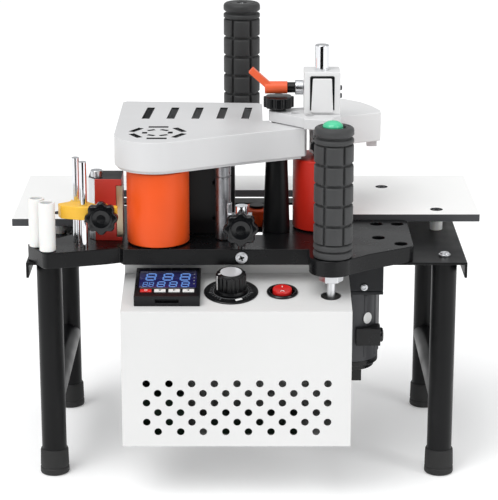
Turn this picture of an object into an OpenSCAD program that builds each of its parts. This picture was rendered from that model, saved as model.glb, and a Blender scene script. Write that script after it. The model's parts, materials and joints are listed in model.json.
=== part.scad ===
// Portable edge banding machine on a small bench stand.
// Machine frame used by the modules: X to the right, Y to the back, Z up, Y = 0 near the front legs,
// Z = 0 on the bench. place() moves it so that the origin is under the centre of the whole object.

/* [Stand] */
// Distance between the left and right legs
leg_span = 297; // [270:1:320]
// Distance between the front and rear legs
leg_depth = 146; // [120:1:170]
// Outer diameter of the leg tubes
leg_d = 19; // [16:0.5:22]
// Wall of the leg tubes
leg_wall = 1.5; // [1:0.1:2.5]
// Outer diameter of the rubber feet
foot_d = 22.4; // [21:0.1:26]
// Height of the rubber feet
foot_h = 20; // [15:1:30]
// Height of the stand plate's top face
plate_top = 174; // [150:1:200]
// Thickness of the stand plate
plate_t = 2; // [1.5:0.1:3]
// Width of the stand plate
plate_w = 328; // [310:1:345]
// Height of the plate's bent side flanges
flange_h = 12; // [8:1:20]
// Height of the cross tubes' axis
cross_z = 64; // [40:1:110]

/* [Table] */
// Width of the table board
table_w = 362; // [340:1:420]
// Depth of the table board's back edge
table_back = 185; // [170:1:200]
// Thickness of the table board
table_t = 6; // [4:0.5:8]
// Height of the spacers under the table board
spacer_h = 10; // [8:0.5:14]

/* [Base plate] */
// Thickness of the base plate
base_t = 12; // [8:0.5:16]
// Diameter of the base plate's fixing holes
base_hole_d = 5.5; // [4:0.1:7]
// Distance between the two rear fixing holes
base_hole_gap = 16; // [14:0.5:18]

/* [Head] */
// Clear height between the base plate and the gear plate
head_h = 57.5; // [52:0.5:64]
// Thickness of the gear plate
gear_plate_t = 4; // [3:0.5:6]
// Height of the covers' skirts
cover_h = 22; // [20:0.5:28]
// Wall of the covers
cover_wall = 1.5; // [1:0.1:2]

/* [Rollers] */
// Diameter of the feed roller
feed_d = 46.5; // [40:0.5:50]
// Diameter of the pressure roller
press_d = 43; // [34:0.5:45]
// Diameter of the glue roller
glue_d = 11.8; // [9:0.1:13]
// Diameter of the guide rollers
guide_d = 12.1; // [10:0.1:14]
// Height of the guide rollers
guide_h = 37; // [30:1:50]

/* [Grips] */
// Diameter of the hand grips
grip_d = 28.8; // [26:0.2:32]
// Height of the hand grips
grip_h = 97; // [85:1:110]

/* [Control box] */
// Width of the control box
box_w = 168; // [160:1:175]
// Height of the control box's bottom above the bench
box_bottom = 47; // [35:1:70]
// Slope of the control panel, in degrees
panel_slope = 9; // [5:0.5:12]
// Wall of the control box
box_wall = 1.2; // [1:0.1:2]
// Side of the square temperature controller
meter_side = 48; // [44:1:50]

/* [Motor] */
// Diameter of the motor
motor_d = 44; // [38:1:45]
// Length of the motor
motor_h = 57; // [40:1:65]
// Height of the gearbox
gearbox_h = 28; // [25:1:34]

/* [Hidden] */
$fn = 64;

// Clearances: a running fit on a radius, a gap between separate bodies, and a loose screw hole
run_fit = 0.05;
gap = 0.3;
loose = 0.4;

// Levels from the bench up
base_bottom = plate_top;
base_top = base_bottom + base_t;
gear_plate_z = base_top + head_h;
gear_plate_top = gear_plate_z + gear_plate_t;
cover_bottom = gear_plate_z + 2;
cover_top = cover_bottom + cover_h;
gear_z = gear_plate_top + 2;
gear_w = 8;
arm_z = cover_top + 0.5;
arm_t = 8;

// Stand
leg_y = [4, 4 + leg_depth];
plate_front = -14;
plate_back = 172;
plate_gap_w = 216;
plate_rear_bar = 16;
foot_floor = 3;
spacer_d = 10;
screw_d = 4;
screw_head_d = 9;

// Table board: the middle is cut away for the machine's head
table_front = [50, 63];
notch_x = [-115, 75];
notch_y = 137;
table_top = plate_top + spacer_h + table_t;
table_screw = [[-146, 68], [148.6, 78], [-112, 148], [110, 148]];

// Axes that stand on the base plate
feed_xy = [-66, 3];
glue_xy = [-17.7, 8.5];
drive_xy = [22.5, 31];
press_xy = [56.5, 44];
pivot_xy = [24.2, 48.5];
grip_xy = [61.8, -36];
rear_grip_xy = [-3, 130];
guide_front_xy = [-146.4, -23];
guide_rear_xy = [-155.2, -10.5];
rod_xy = [[-126.6, 0.4], [-120.3, -12.7]];
post_xy = [[-88, 92], [-58, 92]];
centre_xy = [-3.8, -10];
wheel_xy = [8, 79];
shaft_r = 5;
glue_shaft_r = 2.5;
pin_r = 3;
rod_r = 2.8;
centre_r = 2.65;
chrome_r = 5.25;
pivot_r = 4;
roller_gap = 1;

// Holes of the base plate: two in a row at the back, one behind the grip and one at the front corner
base_hole_y = 50;
base_hole_x = 99.9;
base_holes = [[base_hole_x, base_hole_y], [base_hole_x + base_hole_gap, base_hole_y],
  [99.1, 11.7], [114.8, -4.6]];
bore_d = 9.5;
bore_depth = 5;

// Teeth of the gears. All have the same module and pressure angle
gear_m = 1;
press_angle = 25;
feed_teeth = 40;
small_teeth = 24;
large_teeth = 44;
glue_teeth = 12;
drive_teeth = 20;
out_teeth = 48;
mid_pinion_teeth = 14;
mid_wheel_teeth = 40;
motor_teeth = 12;
motor_xy = [79, 27];

// Control box
box_x = [-91.5, -91.5 + box_w];
box_front = -62;
fold_z = 151.5;
box_back = 0.8;
meter_pos = [-58, 32.5];
dial_pos = [-11.5, 31.3];
rocker_pos = [26.2, 31];
meter_proud = 8;
dial_d = 40;
knob_d = 24;
rocker_d = 20;
vent_d = 5.5;
vent_pitch = 16.6;
vent_row = 7.5;

// Grips
core_r = grip_d / 2 - 4.4;
button_r = 7.6;
button_travel = 2.5;

// ---- helpers ----

mid_y = (box_front + table_back) / 2;
module place() { translate([0, -mid_y, 0]) children(); }
module at(p, z = 0) { translate([p[0], p[1], z]) children(); }
module disc(r, z0, z1) { translate([0, 0, z0]) cylinder(r = r, h = z1 - z0); }
module ring(ro, ri, z0, z1) {
  difference() { disc(ro, z0, z1); disc(ri, z0 - 1, z1 + 1); }
}
module hex(r, z0, z1) { translate([0, 0, z0]) cylinder(r = r, h = z1 - z0, $fn = 6); }
module block(x, y, z) { translate([x[0], y[0], z[0]]) cube([x[1] - x[0], y[1] - y[0], z[1] - z[0]]); }
module on_panel(p) {
  translate([p[0], box_front + p[1] * cos(panel_slope), fold_z + p[1] * sin(panel_slope)])
    rotate([panel_slope, 0, 0]) children();
}
// Pan-head screw: its head stands on z = 0 and its shank goes down
module pan_screw(len) {
  difference() {
    union() {
      disc(screw_head_d / 2, 0, 1.6);
      disc(screw_head_d / 2 - 1.2, 1.6, 2.8);
      disc(screw_d / 2, -len, 0.5);
    }
    hex(1.6, 1.2, 4);
  }
}
// Star knob along +Z, its back on z = 0
module star_knob(r, h, bore_r, lobes = 8) {
  difference() {
    disc(r, 0, h);
    for (i = [0 : lobes - 1]) rotate(360 / lobes * (i + 0.5)) translate([r * 1.12, 0, -1])
      cylinder(r = r * 0.24, h = h + 2, $fn = 24);
    disc(bore_r, -1, h - 2);
  }
}
// Where a gear sits that meshes with two others, on the side given by side
function meet(p, rp, q, rq, side) =
  let (d = norm(q - p), u = (q - p) / d, a = (rp * rp - rq * rq + d * d) / (2 * d),
       h = sqrt(rp * rp - a * a))
  p + a * u + side * h * [-u[1], u[0]];
function pitch_r(n) = n * gear_m / 2;
// Points of an arc about c
function arc(c, r, a0, a1, n = 16) =
  [for (i = [0 : n]) let (a = a0 + (a1 - a0) * i / n) c + r * [cos(a), sin(a)]];
function heading(p, q) = atan2(q[1] - p[1], q[0] - p[0]);
// Turn of gear b that puts its gap on gear a's tooth
function mesh_turn(pa, ta, na, pb, nb) =
  heading(pa, pb) + 180 + (180 - (ta - heading(pa, pb)) * na) / nb;
// Involute spur gear: one tooth is centred on +X
function inv_deg(a) = tan(a) * 180 / PI - a;
module spur_gear(n, w, bore_r) {
  rp = pitch_r(n);
  rb = rp * cos(press_angle);
  tip = rp + 0.9 * gear_m;
  root = rp - 1.2 * gear_m;
  half_p = 90 / n * 0.9;
  radii = [max(rb, root + 0.05), rp, tip];
  half = [for (r = radii) half_p + inv_deg(press_angle) - inv_deg(acos(min(1, rb / r)))];
  points = [for (i = [0 : n - 1]) let (c = 360 * i / n) each concat(
    [root * [cos(c - half[0]), sin(c - half[0])]],
    [for (k = [0 : 2]) radii[k] * [cos(c - half[k]), sin(c - half[k])]],
    [for (k = [2 : -1 : 0]) radii[k] * [cos(c + half[k]), sin(c + half[k])]],
    [root * [cos(c + half[0]), sin(c + half[0])]])];
  difference() {
    linear_extrude(w) polygon(points);
    if (bore_r > 0) disc(bore_r, -1, w + 1);
  }
}

// Places and turns of the gears: head train, then gearbox train
large_xy = meet(drive_xy, pitch_r(drive_teeth) + pitch_r(large_teeth),
  glue_xy, pitch_r(glue_teeth) + pitch_r(large_teeth), -1);
small_xy = meet(feed_xy, pitch_r(feed_teeth) + pitch_r(small_teeth),
  large_xy, pitch_r(large_teeth) + pitch_r(small_teeth), 1);
mid_xy = meet(drive_xy, pitch_r(out_teeth) + pitch_r(mid_pinion_teeth),
  motor_xy, pitch_r(mid_wheel_teeth) + pitch_r(motor_teeth), 1);
feed_turn = 0;
small_turn = mesh_turn(feed_xy, feed_turn, feed_teeth, small_xy, small_teeth);
large_turn = mesh_turn(small_xy, small_turn, small_teeth, large_xy, large_teeth);
glue_turn = mesh_turn(large_xy, large_turn, large_teeth, glue_xy, glue_teeth);
drive_turn = mesh_turn(large_xy, large_turn, large_teeth, drive_xy, drive_teeth);
mid_turn = mesh_turn(drive_xy, 0, out_teeth, mid_xy, mid_pinion_teeth);
motor_turn = mesh_turn(mid_xy, mid_turn, mid_wheel_teeth, motor_xy, motor_teeth);

// ---- stand ----

module stand_plate() {
  x0 = plate_w / 2;
  color("#26282b") place() difference() {
    union() {
      block([-x0, x0], [plate_front, plate_back], [plate_top - plate_t, plate_top]);
      for (s = [-1, 1]) block(s > 0 ? [x0 - plate_t, x0] : [-x0, -x0 + plate_t],
        [plate_front, plate_back], [plate_top - flange_h, plate_top]);
    }
    block([-plate_gap_w / 2, plate_gap_w / 2], [plate_front - 1, plate_back - plate_rear_bar],
      [plate_top - flange_h - 1, plate_top + 1]);
    for (x = [-1, 1] * leg_span / 2, y = leg_y) at([x, y], plate_top - plate_t - 1)
      cylinder(d = screw_d + loose, h = plate_t + 2);
    for (p = table_screw) if (p[1] < plate_back - 3) at(p, plate_top - plate_t - 1)
      cylinder(d = screw_d + loose, h = plate_t + 2);
  }
}
leg_top = plate_top - plate_t;
module leg_tubes() {
  color("#1c1d1f") place() for (x = [-1, 1] * leg_span / 2, y = leg_y) at([x, y]) difference() {
    disc(leg_d / 2, foot_floor, leg_top);
    disc(leg_d / 2 - leg_wall, foot_floor - 1, leg_top - 14);
    disc(screw_d / 2 + 0.02, leg_top - 15, leg_top + 1);
  }
}
module cross_tubes() {
  color("#1c1d1f") place() for (x = [-1, 1] * leg_span / 2) difference() {
    translate([x, leg_y[0], cross_z]) rotate([-90, 0, 0]) difference() {
      cylinder(d = leg_d, h = leg_depth);
      translate([0, 0, -1]) cylinder(d = leg_d - 2 * leg_wall, h = leg_depth + 2);
    }
    for (y = leg_y) at([x, y], cross_z - leg_d) cylinder(d = leg_d, h = 2 * leg_d);
  }
}
module rubber_feet() {
  color("#151515") place() for (x = [-1, 1] * leg_span / 2, y = leg_y) at([x, y]) difference() {
    union() {
      disc(foot_d / 2 - 1, 0, 1);
      disc(foot_d / 2, 1, foot_h - 1);
      disc(foot_d / 2 - 0.8, foot_h - 1, foot_h);
    }
    disc(leg_d / 2 + run_fit, foot_floor, foot_h + 1);
  }
}
module table_board() {
  x0 = table_w / 2;
  z0 = plate_top + spacer_h;
  color("#ececea") place() difference() {
    translate([0, 0, z0]) linear_extrude(table_t) polygon([
      [-x0, table_front[0]], [notch_x[0], table_front[0]], [notch_x[0], notch_y],
      [notch_x[1], notch_y], [notch_x[1], table_front[1]], [x0, table_front[1]],
      [x0, table_back], [-x0, table_back]]);
    for (p = table_screw) at(p) {
      disc(screw_d / 2 + loose / 2, z0 - 1, table_top + 1);
      disc(screw_head_d / 2 + loose, table_top - 3, table_top + 1);
    }
  }
}
module table_spacers() {
  color("#f0efe8") place() for (p = table_screw) at(p)
    ring(spacer_d / 2, screw_d / 2 + loose / 2, plate_top, plate_top + spacer_h);
}
module pan_screws() {
  color("#c9cacc") place() {
    for (x = [-1, 1] * leg_span / 2, y = leg_y) at([x, y], plate_top) pan_screw(plate_t + 12);
    for (p = table_screw) at(p, table_top - 3) pan_screw(table_t - 3 + spacer_h + plate_t + 1);
    translate([centre_xy[0], -20, base_top - 6]) rotate([90, 0, 0]) pan_screw(5);
    for (x = [box_x[0] + 6, box_x[1] - 6], z = [box_bottom + 12, fold_z - 14])
      translate([x, box_back + 1.6, z]) rotate([-90, 0, 0]) pan_screw(5);
  }
}

// ---- base plate and what stands on it ----

module base_outline() {
  polygon([[-163, -5.5], [-149.8, -28.8], [-146.5, -30.6], [-126, -25.5], [-103, -18.8], [-94, -15],
    [-91, -20], [grip_xy[0] - 16, -20], [grip_xy[0] - 16, grip_xy[1]], [grip_xy[0] + 9, grip_xy[1] - 13],
    [90, -32], [119.5, -14], [122.6, -11.5], [124, -8], [124, 58], [122.8, 60.8], [120, 62],
    [12, 62], [12, 20], [-8, 20], [-8, 104], [-112, 104], [-112, 41], [-131.9, 21.3], [-143.8, 9.3]]);
  translate(grip_xy) circle(r = 16.3);
}
module base_plate() {
  color("#3a3b3d") place() difference() {
    translate([0, 0, base_bottom]) linear_extrude(base_t) base_outline();
    at([-leg_span / 2, leg_y[0]]) disc(screw_head_d / 2 + gap, base_bottom - 1, base_bottom + 3.2);
    for (p = base_holes) at(p) {
      disc(base_hole_d / 2, base_bottom - 1, base_top + 1);
      disc(bore_d / 2, base_top - bore_depth, base_top + 1);
    }
    for (p = [feed_xy, drive_xy]) at(p) disc(shaft_r + run_fit, base_bottom - 1, base_top + 1);
    at(grip_xy) disc(shaft_r + run_fit, base_bottom - 1, base_top + 1);
    at(glue_xy) disc(glue_shaft_r + run_fit, base_top - 8, base_top + 1);
    for (p = [guide_front_xy, guide_rear_xy]) at(p) disc(2.5, base_top - 8, base_top + 1);
    for (p = rod_xy) at(p) disc(rod_r, base_top - 8, base_top + 1);
    at(centre_xy) disc(centre_r, base_top - 8, base_top + 1);
    translate([centre_xy[0], -21, base_top - 6]) rotate([-90, 0, 0]) cylinder(d = screw_d, h = 6.2);
  }
}
module drive_pillar() {
  bottom_r = 10.2;
  top_r = 8.2;
  color("#101010") place() at(drive_xy, base_top) rotate_extrude() polygon([
    [shaft_r + 0.4, 0], [bottom_r, 0], [bottom_r, 3], [top_r, head_h], [shaft_r + 0.4, head_h]]);
}
module steel_posts() {
  color("#b9bbbd") place() {
    for (p = post_xy) at(p) disc(5, base_top, gear_plate_z);
    for (p = [large_xy, small_xy]) at(p) {
      disc(pin_r, gear_plate_top, gear_z + gear_w + 2);
      disc(pin_r + 1.5, gear_plate_top, gear_z - 0.4);
      disc(pin_r + 1.5, gear_z + gear_w + 0.4, gear_z + gear_w + 2);
    }
    at(pivot_xy) {
      disc(pivot_r, gear_plate_top, arm_z + arm_t + 8);
      disc(pivot_r + 1.5, gear_plate_top, arm_z - gap);
    }
  }
}
// Outline of the main cover, seen from above
cover_nose_r = 30;
module cover_outline() {
  polygon(concat(arc([-68, 6], cover_nose_r, 180, 295), [[2.4, 8], [43.5, 25.4], [45, 28], [45, 50],
    [12, 50], [12, 109], [9, 112.4], [-95, 119], [-98, 116]]));
}
module lobe_outline(extra) {
  translate(rear_grip_xy) circle(r = 17 + extra);
  translate([rear_grip_xy[0] - 17 - extra, 90]) square([34 + 2 * extra, rear_grip_xy[1] - 90]);
}
module gear_plate() {
  color("#c3c6c9") place() translate([0, 0, gear_plate_z]) difference() {
    linear_extrude(gear_plate_t) union() {
      difference() {
        offset(delta = -cover_wall - gap) cover_outline();
        translate(press_xy) circle(r = press_d / 2 + 2);
      }
      lobe_outline(0);
      translate(pivot_xy) circle(r = pivot_r + 2.7);
    }
    for (p = [feed_xy, drive_xy]) at(p) disc(shaft_r + run_fit, -1, gear_plate_t + 1);
    at(glue_xy) disc(glue_shaft_r + run_fit, -1, gear_plate_t + 1);
    at(rear_grip_xy) disc(shaft_r + run_fit, -1, gear_plate_t + 1);
  }
}
module main_cover() {
  inside_h = cover_h - cover_wall;
  color("#d9dadb") place() translate([0, 0, cover_bottom]) difference() {
    linear_extrude(cover_h) cover_outline();
    translate([0, 0, -1]) linear_extrude(inside_h + 1) offset(delta = -cover_wall) cover_outline();
    at(pivot_xy, -1) cylinder(r = pivot_r + 3, h = cover_h + 2);
    translate([0, 0, -1]) linear_extrude(gear_plate_t + 1) lobe_outline(gap);
    for (i = [0 : 4]) translate([-80 + 19 * i, 57, 0]) rotate(-4) cube([5.5, 39, cover_h + 1]);
    at(feed_xy + [0, 7]) {
      for (i = [0 : 5]) rotate(60 * i) translate([0, 18.5, 0]) translate([-7.2, -2.1, 0])
        cube([14.4, 4.2, cover_h + 1]);
      for (i = [0 : 5]) rotate(60 * i + 30) translate([0, 9.5, 0]) translate([-3, -1.6, 0])
        cube([6, 3.2, cover_h + 1]);
    }
  }
}
guide_sink = 5.5;
module guide_posts() {
  color("#d0d1d3") place() for (p = [guide_front_xy, guide_rear_xy]) at(p) difference() {
    union() {
      disc(2.5, base_top - 8, base_top + guide_h - guide_sink + 1);
      disc(3.9, base_top + guide_h - guide_sink + gap, base_top + guide_h - 1.2);
    }
    hex(2, base_top + guide_h - 3.4, base_top + guide_h);
  }
}
module guide_roller(p) {
  color("#f4f4f2") place() at(p) difference() {
    ring(guide_d / 2, 2.5 + run_fit, base_top + gap, base_top + guide_h);
    disc(4.5, base_top + guide_h - guide_sink, base_top + guide_h + 1);
  }
}
module chrome_rods() {
  color("#d5d6d8") place() {
    for (p = rod_xy) at(p) disc(rod_r, base_top - 8, base_top + 65);
    at(centre_xy) {
      disc(centre_r, base_top - 8, base_top + 30);
      disc(4.9, base_top + 24.5, base_top + 31);
    }
  }
}

// ---- tape guide, cutter and glue ----

tape_z = base_top + 22;
tape_knob_xyz = [-106.5, -24, tape_z + 3];
module tape_guide() {
  color("#f0c23c") place() difference() {
    union() {
      translate([0, 0, tape_z]) linear_extrude(10) polygon([[-139.5, -8], [-137, -14],
        [-122, -19], [-106, -19], [-95, -18.5], [-95, -14], [-108, -12.5], [-116, -5],
        [-123, 5.6], [-130, 5.6], [-131.5, -2]]);
      translate([tape_knob_xyz[0], -19, tape_knob_xyz[2]]) rotate([-90, 0, 0]) cylinder(r = 9, h = 5);
    }
    for (p = rod_xy) at(p, tape_z - 10) cylinder(r = rod_r + run_fit, h = 30);
    translate([tape_knob_xyz[0], -30, tape_knob_xyz[2]]) rotate([-90, 0, 0])
      cylinder(r = 2.55, h = 13);
  }
}
module tape_knob() {
  color("#17181a") place() translate(tape_knob_xyz + [0, 4.6, 0]) rotate([90, 0, 0]) {
    star_knob(12.3, 8, 1);
    disc(2.5, -1.7, 1);
  }
}
block_x = [-118, -93];
blade_stroke = 2.5;
block_y = [4, 30];
block_h = 47.5;
blade_y = 1.6;
module cutter_block() {
  z = [base_top, base_top + block_h];
  color("#b23a34") place() {
    difference() {
      translate([0, 0, z[0]]) linear_extrude(block_h) polygon([[block_x[0], block_y[0] + 6],
        [block_x[0] + 5, block_y[0]], [block_x[1], block_y[0] - 1], [block_x[1], block_y[1]],
        [block_x[0], block_y[1]]]);
      block([block_x[1] - 4.2, block_x[1] + 1], [blade_y, blade_y + 8.6], [z[0] + 3, z[1] - 5]);
    }
    at([block_x[0] + 6, block_y[0] + 8]) disc(4.5, z[1], z[1] + 5);
  }
}
module cutter_blade() {
  color("#d9c9a4") place() block([block_x[1] - 4.2 + gap, block_x[1] + 0.6],
    [block_y[0] - 0.8, blade_y + 8.6 - gap], [base_top + 3 + gap, base_top + block_h - 5 - gap]);
}
module glue_pot() {
  x = [-50, -9];
  y = [22, 62];
  z = [base_top, base_top + 52];
  color("#1b1c1e") place() difference() {
    block(x, y, z);
    block([x[0] + 5, x[1] - 5], [y[0] + 6, y[1] - 5], [z[0] + 6, z[1] + 1]);
    for (h = [12, 40]) translate([-24, y[0] - 1, z[0] + h]) rotate([-90, 0, 0])
      cylinder(d = 3.4, h = 5);
  }
}
module glue_roller() {
  z1 = gear_plate_z - roller_gap;
  color("#a9abad") place() at(glue_xy) {
    disc(glue_shaft_r, base_top - 7, gear_z + gear_w + 1);
    disc(glue_d / 2, base_top + roller_gap, z1 - 8);
    disc(glue_d / 2 - 0.7, z1 - 8, z1 - 7);
    disc(glue_d / 2, z1 - 7, z1);
    translate([0, 0, gear_z]) rotate(glue_turn) spur_gear(glue_teeth, gear_w, 0);
  }
}
clamp_z = base_top + 9;
knob_xyz = [centre_xy[0] - 0.5, centre_xy[1] - 14, clamp_z + 7];
module centre_clamp() {
  color("#8e9092") place() difference() {
    union() {
      block([-14.5, 4], [-17, 0], [clamp_z, clamp_z + 14]);
      block([-14.5, -11], [-5, 0], [clamp_z, clamp_z + 22]);
    }
    at(centre_xy, clamp_z - 1) cylinder(r = centre_r + run_fit, h = 30);
    translate([knob_xyz[0], -18, knob_xyz[2]]) rotate([-90, 0, 0]) cylinder(r = 2.05, h = 4);
  }
}
module centre_knob() {
  color("#121314") place() translate(knob_xyz + [0, 6.6, 0]) rotate([90, 0, 0]) {
    star_knob(13, 8, 1);
    disc(2, -3, 1);
  }
}
module support_wheel() {
  z0 = base_bottom + 4 + gap;
  color("#e8652f") place() at(wheel_xy) ring(13, 3 + run_fit, z0, z0 + 13);
}
module sheet_brackets() {
  z0 = base_bottom + 1;
  color("#1a1b1c") place() {
    block([12, 32], [62, 64], [z0, z0 + 10]);
    difference() {
      union() {
        block([wheel_xy[0] - 7, 32], [64, wheel_xy[1]], [z0, z0 + 3]);
        at(wheel_xy) disc(7, z0, z0 + 3);
        at(wheel_xy) disc(3, z0, z0 + 18);
        at(wheel_xy) disc(6, z0 + 16 + 2 * gap, z0 + 18.5);
      }
    }
  }
}

// ---- rollers and gear train ----

module feed_roller() {
  color("#eb5a2d") place() at(feed_xy)
    ring(feed_d / 2, feed_d / 2 - 4, base_top + roller_gap, gear_plate_z - roller_gap);
}
module feed_shaft() {
  color("#b4b6b8") place() at(feed_xy) {
    disc(shaft_r, base_bottom + 1, gear_z + gear_w + 2);
    disc(feed_d / 2 - 4, base_top + roller_gap, gear_plate_z - roller_gap);
    translate([0, 0, gear_z]) rotate(feed_turn) spur_gear(feed_teeth, gear_w, 0);
  }
}
module idler(p, turn, n) {
  color("#cfc9b8") place() at(p, gear_z) rotate(turn) spur_gear(n, gear_w, pin_r + run_fit);
}
case_wall = 2.5;
out_z = plate_top - 14;
mid_z = plate_top - 23;
train_w = 7;
case_x = [drive_xy[0] - pitch_r(out_teeth) - 2 - case_wall, motor_xy[0] + motor_d / 2 + 2];
case_y = [drive_xy[1] - pitch_r(out_teeth) - 1.4 - case_wall, drive_xy[1] + pitch_r(out_teeth) + 4];
case_z = [plate_top - gearbox_h, plate_top];
module drive_shaft() {
  color("#a4a6a8") place() at(drive_xy) {
    disc(shaft_r, case_z[0] + gap, gear_z + gear_w + 2);
    translate([0, 0, gear_z]) rotate(drive_turn) spur_gear(drive_teeth, gear_w, 0);
    translate([0, 0, out_z]) spur_gear(out_teeth, train_w, 0);
  }
}
module reduction_gear() {
  color("#c9b37a") place() at(mid_xy) difference() {
    union() {
      translate([0, 0, mid_z]) rotate(mid_turn) spur_gear(mid_wheel_teeth, train_w, 0);
      translate([0, 0, out_z - 2]) rotate(mid_turn) spur_gear(mid_pinion_teeth, train_w + 2, 0);
    }
    disc(pin_r + run_fit, mid_z - 1, out_z + train_w + 1);
  }
}
module motor_rotor() {
  color("#9a8f80") place() at(motor_xy) {
    disc(motor_d / 2 - 6, case_z[0] - motor_h + 8, case_z[0] - 8);
    disc(2.5, case_z[0] - motor_h + 3, mid_z + train_w);
    translate([0, 0, mid_z]) rotate(motor_turn) spur_gear(motor_teeth, train_w, 0);
  }
}
module gearbox_case() {
  color("#303236") place() difference() {
    block(case_x, case_y, case_z);
    block(case_x + [1, -1] * case_wall, case_y + [1, -1] * case_wall,
      [case_z[0] - 1, case_z[1] - case_wall]);
    at(drive_xy) disc(shaft_r + run_fit, case_z[0], case_z[1] + 1);
  }
  color("#303236") place() at(mid_xy) {
    disc(pin_r, case_z[0] + 0.1, case_z[1] - case_wall);
    disc(pin_r + 1.5, out_z + train_w + 0.4, case_z[1] - case_wall);
  }
}
module motor_body() {
  r = motor_d / 2;
  color("#3b3e42") place() difference() {
    union() {
      block(case_x, case_y, [case_z[0] - 2.5, case_z[0]]);
      at(motor_xy) disc(r, case_z[0] - motor_h, case_z[0] - 2.5);
      at(motor_xy) for (i = [0 : 11]) rotate(30 * i) translate([r - 0.6, -1, case_z[0] - motor_h + 3])
        cube([1.2, 2, motor_h - 8]);
    }
    at(motor_xy) disc(r - 3, case_z[0] - motor_h - 1, case_z[0] - 6);
    at(motor_xy) disc(2.5 + run_fit, case_z[0] - 7, case_z[0] + 1);
  }
}
module motor_end_cap() {
  r = motor_d / 2;
  z1 = case_z[0] - motor_h;
  color("#26282b") place() {
    at(motor_xy) difference() {
      union() {
        disc(r, z1 - 4, z1);
        disc(r - 3, z1 - 8, z1 - 4);
      }
      disc(2.5 + run_fit, z1 - 3, z1 + 1);
    }
    translate([motor_xy[0] - 1, motor_xy[1] - 14, z1 - 18]) cube([10, 14, 10]);
    difference() {
      block([motor_xy[0] + 4, motor_xy[0] + 22.5], [motor_xy[1] - r - 3, motor_xy[1] - 12],
        [z1 + 14, z1 + 28]);
      at(motor_xy) disc(r + 0.65, z1, z1 + 40);
    }
  }
}

// ---- control box ----

// Height of the box's roof at a depth y, under a wall
function roof_z(y, wall) = fold_z + (y - box_front) * tan(panel_slope) - wall / cos(panel_slope);
module box_profile(wall, back) {
  polygon([[box_front + wall, box_bottom + wall], [back, box_bottom + wall],
    [back, roof_z(back, wall)], [box_front + wall, roof_z(box_front + wall, wall)]]);
}
module box_extrude(x0, x1) { translate([x0, 0, 0]) rotate([90, 0, 90]) linear_extrude(x1 - x0) children(); }
module box_shell() {
  vent_x0 = -73.4;
  color("#f1f1ee") place() difference() {
    box_extrude(box_x[0], box_x[1]) box_profile(0, box_back);
    box_extrude(box_x[0] + box_wall, box_x[1] - box_wall) box_profile(box_wall, box_back + 1);
    on_panel([meter_pos[0], meter_pos[1]]) translate([-22.8, -22.8, -5]) cube([45.6, 45.6, 10]);
    on_panel(dial_pos) cylinder(d = 7.5, h = 10, center = true);
    on_panel(rocker_pos) cylinder(d = rocker_d + 0.3, h = 10, center = true);
    at([grip_xy[0], grip_xy[1]], fold_z - 10) cylinder(d = 15, h = 30);
    for (row = [0 : 5], i = [0 : 8 - row % 2])
      translate([vent_x0 + vent_pitch * (i + (row % 2) / 2), box_front - 2, 96 - vent_row * row])
        rotate([-90, 0, 0]) cylinder(d = vent_d, h = 5, $fn = 24);
  }
}
module box_back_panel() {
  color("#e8e8e5") place() difference() {
    union() {
      block(box_x, [box_back, box_back + 1.6], [box_bottom, base_bottom]);
      block([box_x[0], box_x[1]], [box_back - 14, box_back], [base_bottom - 1.6, base_bottom]);
    }
    translate([-60, box_back - 1, box_bottom + 30]) block([-13.8, 13.8], [0, 4], [-10, 10]);
    for (x = [box_x[0] + 6, box_x[1] - 6], z = [box_bottom + 12, fold_z - 14])
      translate([x, box_back - 1, z]) rotate([-90, 0, 0]) cylinder(d = screw_d, h = 4);
  }
}
module power_inlet() {
  color("#141414") place() translate([-60, box_back, box_bottom + 30]) difference() {
    union() {
      block([-13.6, 13.6], [-22, 1.6], [-9.8, 9.8]);
      block([-16, 16], [1.6, 4], [-12, 12]);
    }
    block([-11, 11], [-12, 5], [-7, 7]);
  }
}
module control_board() {
  color("#2f6b45") place() {
    block([-30, 40], [-40, -4], [box_bottom + box_wall, box_bottom + box_wall + 8]);
    block([-84, -44], [-50, -22], [box_bottom + box_wall, box_bottom + box_wall + 34]);
    on_panel(dial_pos) difference() {
      disc(9, -box_wall - 10, -box_wall);
      disc(3 + run_fit, -box_wall - 9, 1);
    }
  }
}
key_x = [-15.5, -5.2, 5.2, 15.5];
module on_meter() { on_panel(meter_pos) translate([0, 0, meter_proud]) children(); }
module meter_body() {
  h = meter_side / 2;
  color("#1d1e24") place() difference() {
    union() {
      on_panel(meter_pos) block([-h, h], [-h, h], [0, meter_proud]);
      on_panel(meter_pos) block([-22.4, 22.4], [-22.4, 22.4], [-30, 0]);
    }
    on_meter() block([-h + 2.5, h - 2.5], [-9, h - 3], [-0.8, 1]);
    on_meter() for (x = key_x) block([x - 4.5, x + 4.5], [-16.8, -12.2], [-3, 1]);
    on_panel(meter_pos) block([-8.5, 8.5], [-h - 1, -h + 3], [2.5, 5.5]);
  }
}
module meter_key(i, shade) {
  color(shade) place() on_meter() block([key_x[i] - 4.5 + gap, key_x[i] + 4.5 - gap],
    [-16.8 + gap, -12.2 - gap], [-2, 0.6]);
}
module dial_plate() {
  color("#111214") place() on_panel(dial_pos) ring(dial_d / 2, 3.75, 0, 1.2);
}
module speed_knob() {
  color("#1a1b1d") place() on_panel(dial_pos) {
    difference() {
      disc(knob_d / 2, 1.2 + gap, 17);
      for (i = [0 : 15]) rotate(22.5 * i) translate([knob_d / 2 + 0.5, 0, 6]) cylinder(r = 1.3, h = 12,
        $fn = 16);
    }
    disc(3, -box_wall - 8, 2);
  }
}
module rocker_bezel() {
  color("#141414") place() on_panel(rocker_pos) difference() {
    union() {
      disc(rocker_d / 2 + 1.6, 0, 2);
      disc(rocker_d / 2, -16, 0);
    }
    disc(8.8, -7, 3);
  }
}
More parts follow.
